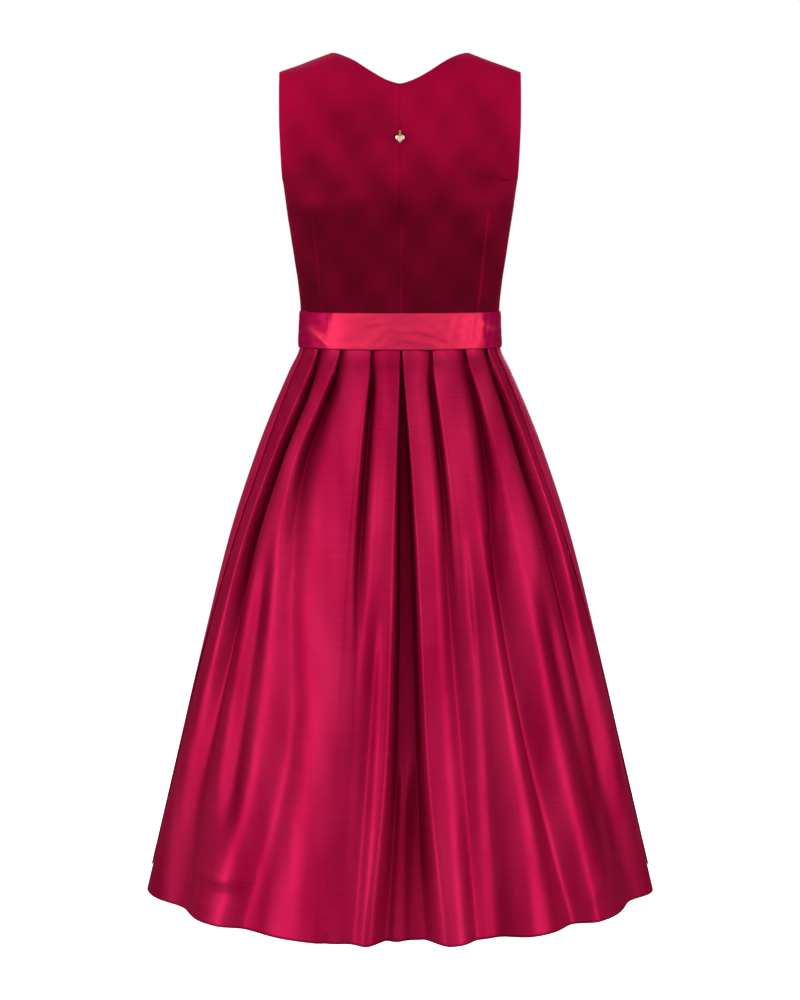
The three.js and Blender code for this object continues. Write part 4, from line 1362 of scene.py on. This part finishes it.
@dataclass
class Ribbon:
    """The satin ribbon round the waist and its bow on the wearer's left of the front."""

    bodice: Bodice
    form: SkirtForm
    wall: float = 1.2
    top_z: float = -322
    bottom_z: float = -369
    columns: int = 300
    rows: int = 26
    bow_x: float = 40
    bow_shelter: float = 26
    bow_z: float = -345
    knot: tuple[float, float, float] = (23, 13, 33)
    knot_power: float = 0.62
    loop_reach: float = 74
    loop_root: float = 17
    loop_end: float = 43
    loop_gap: float = 3.4
    loop_swell: float = 6.5
    loop_droop: float = 16
    tail_top: float = -362.4
    tail_length: float = 385
    tail_half: tuple[float, float] = (12, 21.5)
    tail_start: float = 13.5
    tail_spread: float = 0.075
    tail_slant: float = 14
    tail_settle: tuple[float, float] = (370, 383)

    # Creases of the back: x and z at both ends, half breadth, height.
    CREASES = creases(
        (89, -322, 90, -346, 2.2, 0.9), (121, -336, 88, -368, 3.2, 1.4),
        (124, -344, 96, -370, 3.0, -0.9), (44, -338, 4, -331, 3.4, 0.7),
        (34, -366, 12, -346, 4.0, -0.8), (12, -344, -34, -346, 3.2, 0.8),
        (-20, -348, -62, -362, 2.6, -1.0), (8, -354, -48, -362, 3.4, 0.8),
        (-104, -322, -108, -366, 2.6, 0.8), (-100, -334, -128, -346, 3.0, 0.9),
        (60, -350, 100, -360, 4.0, 0.6),
    )
    FRONT_CREASES = creases(
        (18, -330, -40, -326, 3.4, 0.9), (20, -346, -62, -342, 3.0, -0.9),
        (18, -358, -50, -364, 3.2, 0.9), (60, -334, 112, -328, 3.4, 0.8),
        (62, -352, 118, -360, 3.0, -0.8), (-84, -324, -96, -366, 4.0, 0.8),
        (-112, -330, -126, -362, 3.4, -0.8),
    )

    def band(self) -> None:
        """Make the band round the waist."""
        turn = np.linspace(0, 2 * math.pi, self.columns, endpoint=False)
        turn, z = np.meshgrid(turn, np.linspace(self.top_z, self.bottom_z, self.rows))
        half = self.bodice.half(z)
        reach = np.where(np.cos(turn) >= 0, self.bodice.back(z), self.bodice.front(z))
        x, y = half * np.sin(turn), reach * np.cos(turn)
        out = unit(np.stack([np.sin(turn) * reach, np.cos(turn) * half, np.zeros_like(z)], axis=-1))
        surface = np.stack([x, y, z], axis=-1) + out * SEAM_GAP
        is_back = y > 0
        back, front = (
            sum(crease.over(x, z) for crease in wrinkles)
            for wrinkles in (self.CREASES, self.FRONT_CREASES)
        )
        relief = np.where(is_back, back, front) + 0.35 * Ripple(31, (60, 40))(x + 2 * y, z)
        under_bow = np.where(is_back, 0, bump(x, self.bow_x, self.bow_shelter))
        away = ease(self.top_z - z, 0, 5) * ease(z - self.bottom_z, 0, 5) * (1 - under_bow)
        relief = (relief + 0.3) * away
        surface = surface + out * np.maximum(relief, -0.25)[..., None]
        # The mark tone holds painted light and shade.
        marks = {"tone": self.band_light_and_shade(x, z, is_back)}
        wall = ClothWall("waist_band", surface, self.wall, 0, ring=True, marks=marks)
        lay_sheet(outward(wall), Look.RIBBON, "waist_ribbon")

    def band_light_and_shade(self, x: Grid, z: Grid, is_back: Grid) -> Grid:
        """Return how bright the ribbon looks, from 0 to 1: painted light on the back between its two
        upright creases, painted highlights on two raised creases, a lighter slanting band, painted shade
        in a trough and random tone.
        """
        left_edge = mix(86.0, 93.0, ease(-z, 322, 350))
        # Painted light: brighter on the back between the two upright creases.
        bright = (1 - ease(x, left_edge - 4, left_edge + 3)) * ease(x, -109, -101)
        # Painted highlights along two raised creases.
        long_ridge_highlight = Crease((120, -341), (84, -366), 5, 0.85).over(x, z)
        short_ridge_highlight = Crease((-98, -334), (-124, -346), 4, 0.45).over(x, z)
        band = 0.2 * bump(x + 0.9 * (z + 345), 26, 9) * (1 - ease(z, -345, -330))
        # Painted shade in a trough and low on the back round it.
        trough_shade = 0.16 * Crease((-26, -348), (-60, -362), 4, 1).over(x, z)
        trough_shade = trough_shade + 0.22 * bump(x, -20, 34) * bump(z, -358, 9)
        back = 0.1 + 0.72 * bright + long_ridge_highlight + short_ridge_highlight + band - trough_shade
        front = 0.55 + 0.3 * Ripple(33, (80, 60))(x, z)
        return np.clip(np.where(is_back, back, front), 0, 1) + 0.07 * Ripple(32, (50, 24))(x, z)

    def bow_frame(self) -> tuple[Grid, Grid]:
        """Return the bow's place and its axes: along the ribbon, into the body and up."""
        foot = self.bow_z - self.knot[2] / 2
        reach, half = float(self.bodice.front(foot)), float(self.bodice.half(foot))
        turn = math.asin(self.bow_x / half)
        out = unit(np.array([math.sin(turn) * reach, -math.cos(turn) * half, 0]))
        place = np.array([self.bow_x, -reach * math.cos(turn), self.bow_z])
        place = place + out * (2 * SEAM_GAP + self.wall)
        angle = math.atan2(out[0], -out[1])
        cos, sin = math.cos(angle), math.sin(angle)
        return place, np.array([[cos, sin, 0], [-sin, cos, 0], [0, 0, 1]])

    def on_bow(self, points: Grid) -> Grid:
        """Return points of the bow's own frame, placed on the dress."""
        place, axes = self.bow_frame()
        return points @ axes + place

    def knot_piece(self) -> None:
        """Make the knot: the ribbon wrapped once round the bow's middle."""
        width, thick, height = self.knot
        around = np.linspace(0, 2 * math.pi, 64, endpoint=False)
        around, across = np.meshgrid(around, np.linspace(-1, 1, 21))
        pinch = 1 - 0.16 * np.abs(across) ** 4
        y, z = (
            np.sign(wave) * np.abs(wave) ** self.knot_power * (size / 2 - self.wall / 2)
            for wave, size in ((np.cos(around), thick), (np.sin(around), height))
        )
        z = z * pinch
        folds = 0.5 * np.cos(across * 7.5 + 0.4) + 0.3 * np.cos(across * 13)
        y = np.where(y < 0, y - folds * (1 - np.abs(across) ** 6), y)
        x = across * (width / 2 - 0.4) * (1 - 0.05 * np.cos(around * 2))
        points = self.on_bow(np.stack([x, y - thick / 2, z], axis=-1))
        away = points - points.mean(axis=(0, 1))
        flip = bool((grid_normals(points, True) * away).sum() < 0)
        # Painted light and shade: lighter where the folds stand out.
        marks = {"tone": 0.55 + 0.3 * folds}
        half = self.wall / 2
        wall = ClothWall("bow_wrap", points, half, half, ring=True, flip=flip, marks=marks)
        lay_sheet(wall, Look.RIBBON, "bow_knot")

    def loop(self, side: int) -> None:
        """Make a loop: the ribbon runs out from the knot, turns and comes back in front."""
        root = self.knot[0] / 2 + SEAM_GAP
        middle = -self.knot[1] / 2
        t, across = np.meshgrid(np.linspace(0, 1, 72), np.linspace(-1, 1, 25), indexing="ij")
        out = np.sin(math.pi * t)
        opened = self.loop_gap + self.loop_swell * out
        x = root + self.loop_reach * out
        y = middle + opened * np.cos(math.pi * t)
        height = mix(self.loop_root, self.loop_end, out**0.6)
        z = across * height / 2 - self.loop_droop * out * out
        gathered = 1 - ease(out, 0.0, 0.75)
        folds = np.cos(across * 9 + side) * 0.9 + np.cos(across * 5 - 0.6 * side) * 0.6
        facing = np.sign(np.cos(math.pi * t))
        y = y + facing * folds * gathered * 0.8 + facing * 1.4 * out * (1 - across**2)
        y = y + 0.7 * np.cos(across * 3 + 5 * t) * out * facing
        x = x - 3.5 * out**6 * across**2
        points = self.on_bow(np.stack([side * x, y, z], axis=-1))
        # Painted light and shade following the folds, with random tone.
        tone = 0.5 + 0.25 * folds * gathered + 0.3 * Ripple(40 + side, (1.2, 3))(t, across)
        inside = -facing[..., None] * self.bow_frame()[1][1]
        flip = bool((grid_normals(points) * inside).sum() > 0)
        half = self.wall / 2
        name = f"loop_{'left' if side > 0 else 'right'}"
        wall = ClothWall("ribbon_" + name, points, half, half, flip=flip, marks={"tone": tone})
        lay_sheet(wall, Look.RIBBON, "bow_" + name)

    def tail(self, side: int) -> None:
        """Make a tail, which hangs over the band's lower edge and then on the apron."""
        over_apron = 1.5 * self.wall + 2 * SEAM_GAP
        over_ribbon = 3 * self.wall + 2 * SEAM_GAP
        lines, painted_shading = [], []
        across = np.linspace(-1, 1, 15)
        for share in np.linspace(0, 1, 110):
            drop = self.tail_length * share
            half = mix(*self.tail_half, float(ease(share, 0, 0.5)))
            x = self.bow_x + side * (self.tail_start + self.tail_spread * drop + half * across)
            x = x + 2.2 * math.sin(5 * share + side) * share
            z = self.tail_top - drop - self.tail_slant * across * share
            settle = ease(-z, *self.tail_settle)
            folds = np.cos(across * 6 + side) * (1 - float(ease(share, 0.02, 0.3)))
            wave = np.cos(share * 14 + across * 1.6 + side)
            rise = (2 + 1.2 * wave + 0.8 * folds) * float(ease(share, 0.0, 0.08))
            depth = -mix(over_ribbon, over_apron, settle) - rise
            lines.append([
                self.form.folded(at_z, np.array([self.front_turn(at_x, at_z)]), np.array([deep]))[0]
                for at_x, at_z, deep in zip(x, z, depth)
            ])
            # Painted light and shade: lighter where the tail stands further out.
            painted_shading.append(0.5 + 0.2 * folds + 0.18 * wave)
        name = f"tail_{'left' if side > 0 else 'right'}"
        marks = {"tone": np.array(painted_shading)}
        wall = outward(ClothWall("ribbon_" + name, np.array(lines), self.wall, 0, marks=marks))
        lay_sheet(wall, Look.RIBBON, "bow_" + name)

    def front_turn(self, x: float, z: float) -> float:
        """Return the turn of a place across the front at a height."""
        return 180 - math.degrees(math.asin(min(1, x / float(self.form.half(z)))))

    def build(self) -> None:
        """Make the band and the bow."""
        self.band()
        self.knot_piece()
        for part in (self.loop, self.tail):
            for side in (1, -1):
                part(side)


# ---- Heart charm ---------------------------------------------------------------------------------


def start_anew() -> None:
    """Leave edit mode and deselect everything."""
    if bpy.context.object and bpy.context.object.mode == "EDIT":
        bpy.ops.object.mode_set(mode="OBJECT")
    bpy.ops.object.select_all(action="DESELECT")


def take_up(piece: bpy.types.Object, edit: bool = True) -> None:
    """Select just one piece, and open it with all of it selected where it is to be edited."""
    start_anew()
    piece.select_set(True)
    bpy.context.view_layer.objects.active = piece
    if edit:
        bpy.ops.object.mode_set(mode="EDIT")
        bpy.ops.mesh.select_all(action="SELECT")


def close_up() -> None:
    """Turn all faces of the open piece outward and leave edit mode."""
    bpy.ops.mesh.select_all(action="SELECT")
    bpy.ops.mesh.normals_make_consistent(inside=False)
    bpy.ops.object.mode_set(mode="OBJECT")


def select_faces(piece: bpy.types.Object, wanted: Callable[[bpy.types.MeshPolygon], bool]) -> None:
    """Select, in edit mode, just the faces that are wanted."""
    bpy.ops.mesh.select_mode(type="FACE")
    bpy.ops.mesh.select_all(action="DESELECT")
    bpy.ops.object.mode_set(mode="OBJECT")
    for face in piece.data.polygons:
        face.select = wanted(face)
    bpy.ops.object.mode_set(mode="EDIT")


def rounded(piece: bpy.types.Object, name: str, degrees: float) -> bpy.types.Object:
    """Name a piece and shade it smooth but for edges sharper than an angle."""
    take_up(piece, edit=False)
    piece.name = piece.data.name = name
    bpy.ops.object.shade_smooth_by_angle(angle=math.radians(degrees))
    return piece


@dataclass
class Charm:
    """The small gold heart at the centre back, its ring and the loop of thread that carries it.

    Attributes:
        axis_y: how far out the ring's middle and the heart hang.
        cloth_y: the cloth's outside under the thread.
    """

    axis_y: float = 96.471
    cloth_y: float = 92.571
    thread_z: float = -92
    thread_half_span: float = 2.6
    strand: float = 0.26
    strands: int = 3
    thread_turns: float = 4
    ring_z: float = -93.25
    ring_radius: float = 2.4
    wire: float = 0.4
    ring_cut: float = 8
    ring_start: float = 58
    pivot_z: float = -95.65
    heart_drop: float = 1.2
    heart_half: float = 5.7
    heart_height: float = 10.4
    heart_body: float = 1.4
    eye: tuple[float, float] = (1.12, 0.33)
    eye_depth: float = 1.4
    stem: tuple[float, float] = (0.45, 2.8)
    strand_off: float = 0.2

    # The steps of the heart's faces: how much of its size each keeps and how far it rises.
    FRONT_CROWN = ((0.95, 0.3), (0.95, 0.2), (0.96, 0.06), (0.95, -0.14), (0.93, 0.17), (0.7, 0.07))
    BACK_CROWN = ((0.95, 0.3), (0.94, 0.2), (0.8, 0.12))

    def outline(self, count: int) -> Grid:
        """Return the heart's outline as across and down, from its cleft round to its cleft."""
        half, high = self.heart_half, self.heart_height
        cleft, point = (0.0, -0.2 * high), (0.0, -high)
        flank = (half, -0.3 * high)
        lobe = (cleft, (0.25 * half, 0.02 * high), (half, 0.06 * high), flank)
        side = (flank, (half, -0.6 * high), (0.3 * half, -0.82 * high), point)
        quarter = count // 4
        share = (np.arange(quarter) / quarter)[:, None]
        right = np.concatenate([self.bezier(lobe, share), self.bezier(side, share)])
        left = np.concatenate([[point], right[:0:-1]]) * (-1, 1)
        return np.concatenate([right, left])

    @staticmethod
    def bezier(corners: Sequence[tuple[float, float]], share: Grid) -> Grid:
        """Return points at shares of the way along a cubic curve."""
        a, b, c, d = (np.asarray(corner, float) for corner in corners)
        rest = 1 - share
        return rest**3 * a + 3 * rest**2 * share * b + 3 * rest * share**2 * c + share**3 * d

    def heart(self) -> bpy.types.Object:
        """Model the heart: a puffed body with a raised rim, a stem and an eye."""
        outline = self.outline(96)
        start_anew()
        bpy.ops.mesh.primitive_circle_add(vertices=len(outline), radius=0.005, fill_type="NGON")
        body = bpy.context.object
        back_y = self.axis_y - self.heart_body / 2
        for vertex, (x, z) in zip(body.data.vertices, outline):
            vertex.co = Vector((x, back_y, self.pivot_z - self.heart_drop + z)) * MM
        take_up(body)
        move = {"value": (0, self.heart_body * MM, 0)}
        bpy.ops.mesh.extrude_region_move(TRANSFORM_OT_translate=move)
        bpy.ops.mesh.select_all(action="SELECT")
        bpy.ops.mesh.normals_make_consistent(inside=False)
        self.crown(body, 1, self.FRONT_CROWN)
        self.crown(body, -1, self.BACK_CROWN)
        bpy.ops.object.mode_set(mode="OBJECT")
        parts = [body, self.stem_part(), self.eye_part()]
        for part in parts:
            part.select_set(True)
        bpy.context.view_layer.objects.active = body
        bpy.ops.object.join()
        return rounded(body, "heart_pendant", 38)

    def crown(self, body: bpy.types.Object, side: int, steps: Sequence[tuple[float, float]]) -> None:
        """Raise one face of the heart in steps, each drawn in and moved out.

        Args:
            body: the heart, in edit mode.
            side: 1 for the face that shows, -1 for the one on the cloth.
            steps: how much of its size the face keeps and how far it rises.
        """
        select_faces(body, lambda face: face.normal.y * side > 0.9)
        middle_z = self.pivot_z - self.heart_drop - 0.42 * self.heart_height
        middle = Vector((0, self.axis_y, middle_z)) * MM
        for keeps, rise in steps:
            move = {"value": (0, side * rise * MM, 0)}
            bpy.ops.mesh.extrude_region_move(TRANSFORM_OT_translate=move)
            bpy.ops.transform.resize(value=(keeps, 1, keeps), center_override=middle)
        bpy.ops.mesh.poke()

    def stem_part(self) -> bpy.types.Object:
        """Model the stem between the heart's cleft and its eye, narrower at the top."""
        radius, length = self.stem
        start_anew()
        middle = Vector((0, self.axis_y, self.pivot_z - self.heart_drop - length / 2)) * MM
        sizes = {"vertices": 16, "radius": radius * MM, "depth": length * MM}
        bpy.ops.mesh.primitive_cylinder_add(location=middle, **sizes)
        stem = bpy.context.object
        bpy.ops.object.transform_apply(location=True, rotation=True, scale=True)
        take_up(stem)
        select_faces(stem, lambda face: face.normal.z > 0.9)
        bpy.ops.transform.resize(value=(0.8, 0.8, 1))
        select_faces(stem, lambda face: face.normal.z < -0.9)
        bpy.ops.transform.resize(value=(1.7, 1.2, 1))
        bpy.ops.object.mode_set(mode="OBJECT")
        return stem

    def eye_part(self) -> bpy.types.Object:
        """Model the eye that the ring passes through, spun from a small section."""
        radius, wire = self.eye
        return self.spun(self.pivot_z, radius, wire, 0, 360, self.eye_depth)

    def spun(
        self, z: float, radius: float, wire: float, start: float, sweep: float, deep: float
    ) -> bpy.types.Object:
        """Spin a round section into a hoop.

        Args:
            z: the height of the hoop's middle.
            radius: the hoop's radius to the middle of its section.
            wire: the section's radius.
            start: where the section starts, in degrees above the outward level.
            sweep: how far it is spun, in degrees.
            deep: how much thicker the section is along the hoop's axis.

        Returns:
            The hoop: across the dress where it is closed, and upright to the cloth where it is cut.
        """
        closed = sweep >= 360
        angle = math.radians(start)
        out, up = radius * math.cos(angle), radius * math.sin(angle)
        centre = Vector((0, self.axis_y, z)) * MM
        start_anew()
        if closed:
            place = centre + Vector((out, 0, up)) * MM
            axis, turned = (0, 1, 0), (0, 0, 0)
        else:
            place = centre + Vector((0, out, up)) * MM
            axis, turned = (1, 0, 0), (angle, 0, 0)
        section = {"vertices": 14, "radius": wire * MM}
        bpy.ops.mesh.primitive_circle_add(location=place, rotation=turned, **section)
        hoop = bpy.context.object
        bpy.ops.object.transform_apply(location=True, rotation=True, scale=True)
        take_up(hoop)
        if closed:
            bpy.ops.transform.resize(value=(1, deep, 1))
        bpy.ops.mesh.spin(steps=64, angle=math.radians(sweep), center=centre, axis=axis)
        bpy.ops.mesh.select_all(action="SELECT")
        bpy.ops.mesh.remove_doubles(threshold=0.00001)
        bpy.ops.mesh.fill_holes(sides=0)
        close_up()
        return hoop

    def ring(self) -> bpy.types.Object:
        """Model the ring, a hoop of wire with a fine cut."""
        sweep = 360 - self.ring_cut
        hoop = self.spun(self.ring_z, self.ring_radius, self.wire, self.ring_start, sweep, 1)
        return rounded(hoop, "gold_ring", 40)

    def thread(self) -> bpy.types.Object:
        """Make the loop of twisted thread that stands off the cloth."""
        share = np.linspace(0, 1, 49)[:, None]
        crown = self.cloth_y + (self.axis_y - self.cloth_y) / 0.75
        span = self.thread_half_span
        feet = (-span, self.cloth_y - 0.4), (span, self.cloth_y - 0.4)
        flat = self.bezier((feet[0], (-span, crown), (span, crown), feet[1]), share)
        path = np.concatenate([flat, np.full_like(share, self.thread_z)], axis=1)
        along = unit(np.gradient(path, axis=0))
        up = np.array([0.0, 0.0, 1.0])
        side = np.cross(along, up)
        points, faces = [], []
        for strand in range(self.strands):
            twist = 2 * math.pi * (strand / self.strands + self.thread_turns * share)
            middle = path + self.strand_off * (np.cos(twist) * side + np.sin(twist) * up)
            around = np.linspace(0, 2 * math.pi, 10, endpoint=False)[:, None]
            wave = np.cos(around) * side[:, None] + np.sin(around) * up
            grid = middle[:, None] + self.strand * wave
            first = sum(len(part) for part in points)
            index = first + np.arange(grid.shape[0] * 10).reshape(-1, 10)
            ringed = np.concatenate([index, index[:, :1]], axis=1)
            points.append(grid.reshape(-1, 3))
            faces += ClothWall.quads(ringed, False).tolist()
            faces += [index[0].tolist(), index[-1, ::-1].tolist()]
        mesh = bpy.data.meshes.new("thread_loop")
        mesh.from_pydata((np.concatenate(points) * MM).tolist(), [], faces)
        loop = bpy.data.objects.new("thread_loop", mesh)
        bpy.context.collection.objects.link(loop)
        take_up(loop)
        close_up()
        return rounded(loop, "thread_loop", 50)

    def build(self) -> None:
        """Make the three small pieces: the thread on the dress, the ring and the heart each on its own
        body.
        """
        place_piece(self.thread(), Look.THREAD, "dress", "charm_thread_bar")
        place_piece(self.ring(), Look.GOLD, "ring", "charm_ring")
        place_piece(self.heart(), Look.GOLD, "heart", "heart_charm")


# ---- Studio --------------------------------------------------------------------------------------


@dataclass
class Studio:
    """The floor, the lights and the camera."""

    floor_z: float = -1.42
    camera_place: tuple[float, float, float] = (0.0, 3.4134, -0.2142)
    camera_target: tuple[float, float, float] = (0.0, 0.0, -0.5712)
    lens: float = 93.6

    # Name, place and size in metres, and watts.
    LIGHTS = (
        ("key_light", (1.5, 2.6, 1.0), (1.5, 1.6), 33),
        ("second_light", (-1.5, 2.7, 0.9), (1.4, 1.6), 27),
        ("low_light", (0.2, 3.5, -0.6), (2.6, 0.9), 12),
        ("front_light", (0.7, -2.8, 1.6), (1.8, 1.5), 46),
        ("front_low_light", (-0.6, -3.1, 0.2), (1.6, 1.2), 22),
        ("side_light_left", (2.8, 1.2, -0.3), (1.2, 1.8), 50),
        ("side_light_right", (-2.8, 1.2, -0.3), (1.2, 1.8), 47),
    )

    def floor(self) -> None:
        """Lay the floor."""
        bpy.ops.object.select_all(action="DESELECT")
        bpy.ops.mesh.primitive_plane_add(size=60, location=(0, 0, self.floor_z))
        floor = bpy.context.object
        floor.name = "studio_floor"
        dye = Dye("studio_floor_paint")
        cloudy = dye.noise(dye.place(), 3, 2)
        colour = dye.blend(cloudy, (0.9, 0.9, 0.9), (0.94, 0.94, 0.94))
        glow = {"Emission_Color": (1, 1, 1, 1), "Emission_Strength": 0.9}
        floor.data.materials.append(dye.finish(colour, 1.0, Specular_IOR_Level=0.0, **glow))
        floor.visible_diffuse = False
        floor.visible_glossy = False

    def aim(self, thing: bpy.types.Object, place: Sequence[float]) -> None:
        """Put a light or the camera in its place and turn it to the dress."""
        bpy.context.collection.objects.link(thing)
        thing.location = place
        way = Vector(self.camera_target) - Vector(place)
        thing.rotation_euler = way.to_track_quat("-Z", "Y").to_euler()

    def light(
        self, name: str, place: Sequence[float], size: tuple[float, float], watts: float
    ) -> None:
        """Hang one soft light, aimed at the dress."""
        data = bpy.data.lights.new(name, "AREA")
        data.shape = "RECTANGLE"
        data.size, data.size_y = size
        data.energy = watts
        self.aim(bpy.data.objects.new(name, data), place)

    def lights(self) -> None:
        """Hang the lights and set the pale surroundings."""
        for name, place, size, watts in self.LIGHTS:
            self.light(name, place, size, watts)
        world = bpy.data.worlds.new("studio_air")
        bpy.context.scene.world = world
        world.use_nodes = True
        tree = world.node_tree
        tree.nodes.clear()
        path = tree.nodes.new("ShaderNodeLightPath")
        seen, lit = (tree.nodes.new("ShaderNodeBackground") for _ in range(2))
        for node, colour, strength in ((seen, (1, 1, 1, 1), 1.0), (lit, (1, 0.98, 0.97, 1), 0.14)):
            node.inputs["Color"].default_value = colour
            node.inputs["Strength"].default_value = strength
        choose = tree.nodes.new("ShaderNodeMixShader")
        output = tree.nodes.new("ShaderNodeOutputWorld")
        tree.links.new(path.outputs["Is Camera Ray"], choose.inputs[0])
        tree.links.new(lit.outputs[0], choose.inputs[1])
        tree.links.new(seen.outputs[0], choose.inputs[2])
        tree.links.new(choose.outputs[0], output.inputs["Surface"])

    def camera(self) -> None:
        """Set the camera."""
        data = bpy.data.cameras.new("studio_camera")
        data.lens = self.lens
        data.sensor_width = 36
        camera = bpy.data.objects.new("studio_camera", data)
        self.aim(camera, self.camera_place)
        bpy.context.scene.camera = camera

    def build(self) -> None:
        """Set up the studio."""
        self.camera()
        self.floor()
        self.lights()
        bpy.context.scene.view_settings.view_transform = "Standard"


def main() -> None:
    """Build the dress piece by piece and the studio round it."""
    logging.basicConfig(level=logging.INFO, format="%(name)s: %(message)s")
    Studio().build()
    bodice = Bodice()
    form = SkirtForm()
    bodice.build()
    Skirt(form).build()
    Apron(form).build()
    Ribbon(bodice, form).build()
    Charm().build()


if __name__ == "__main__":
    main()
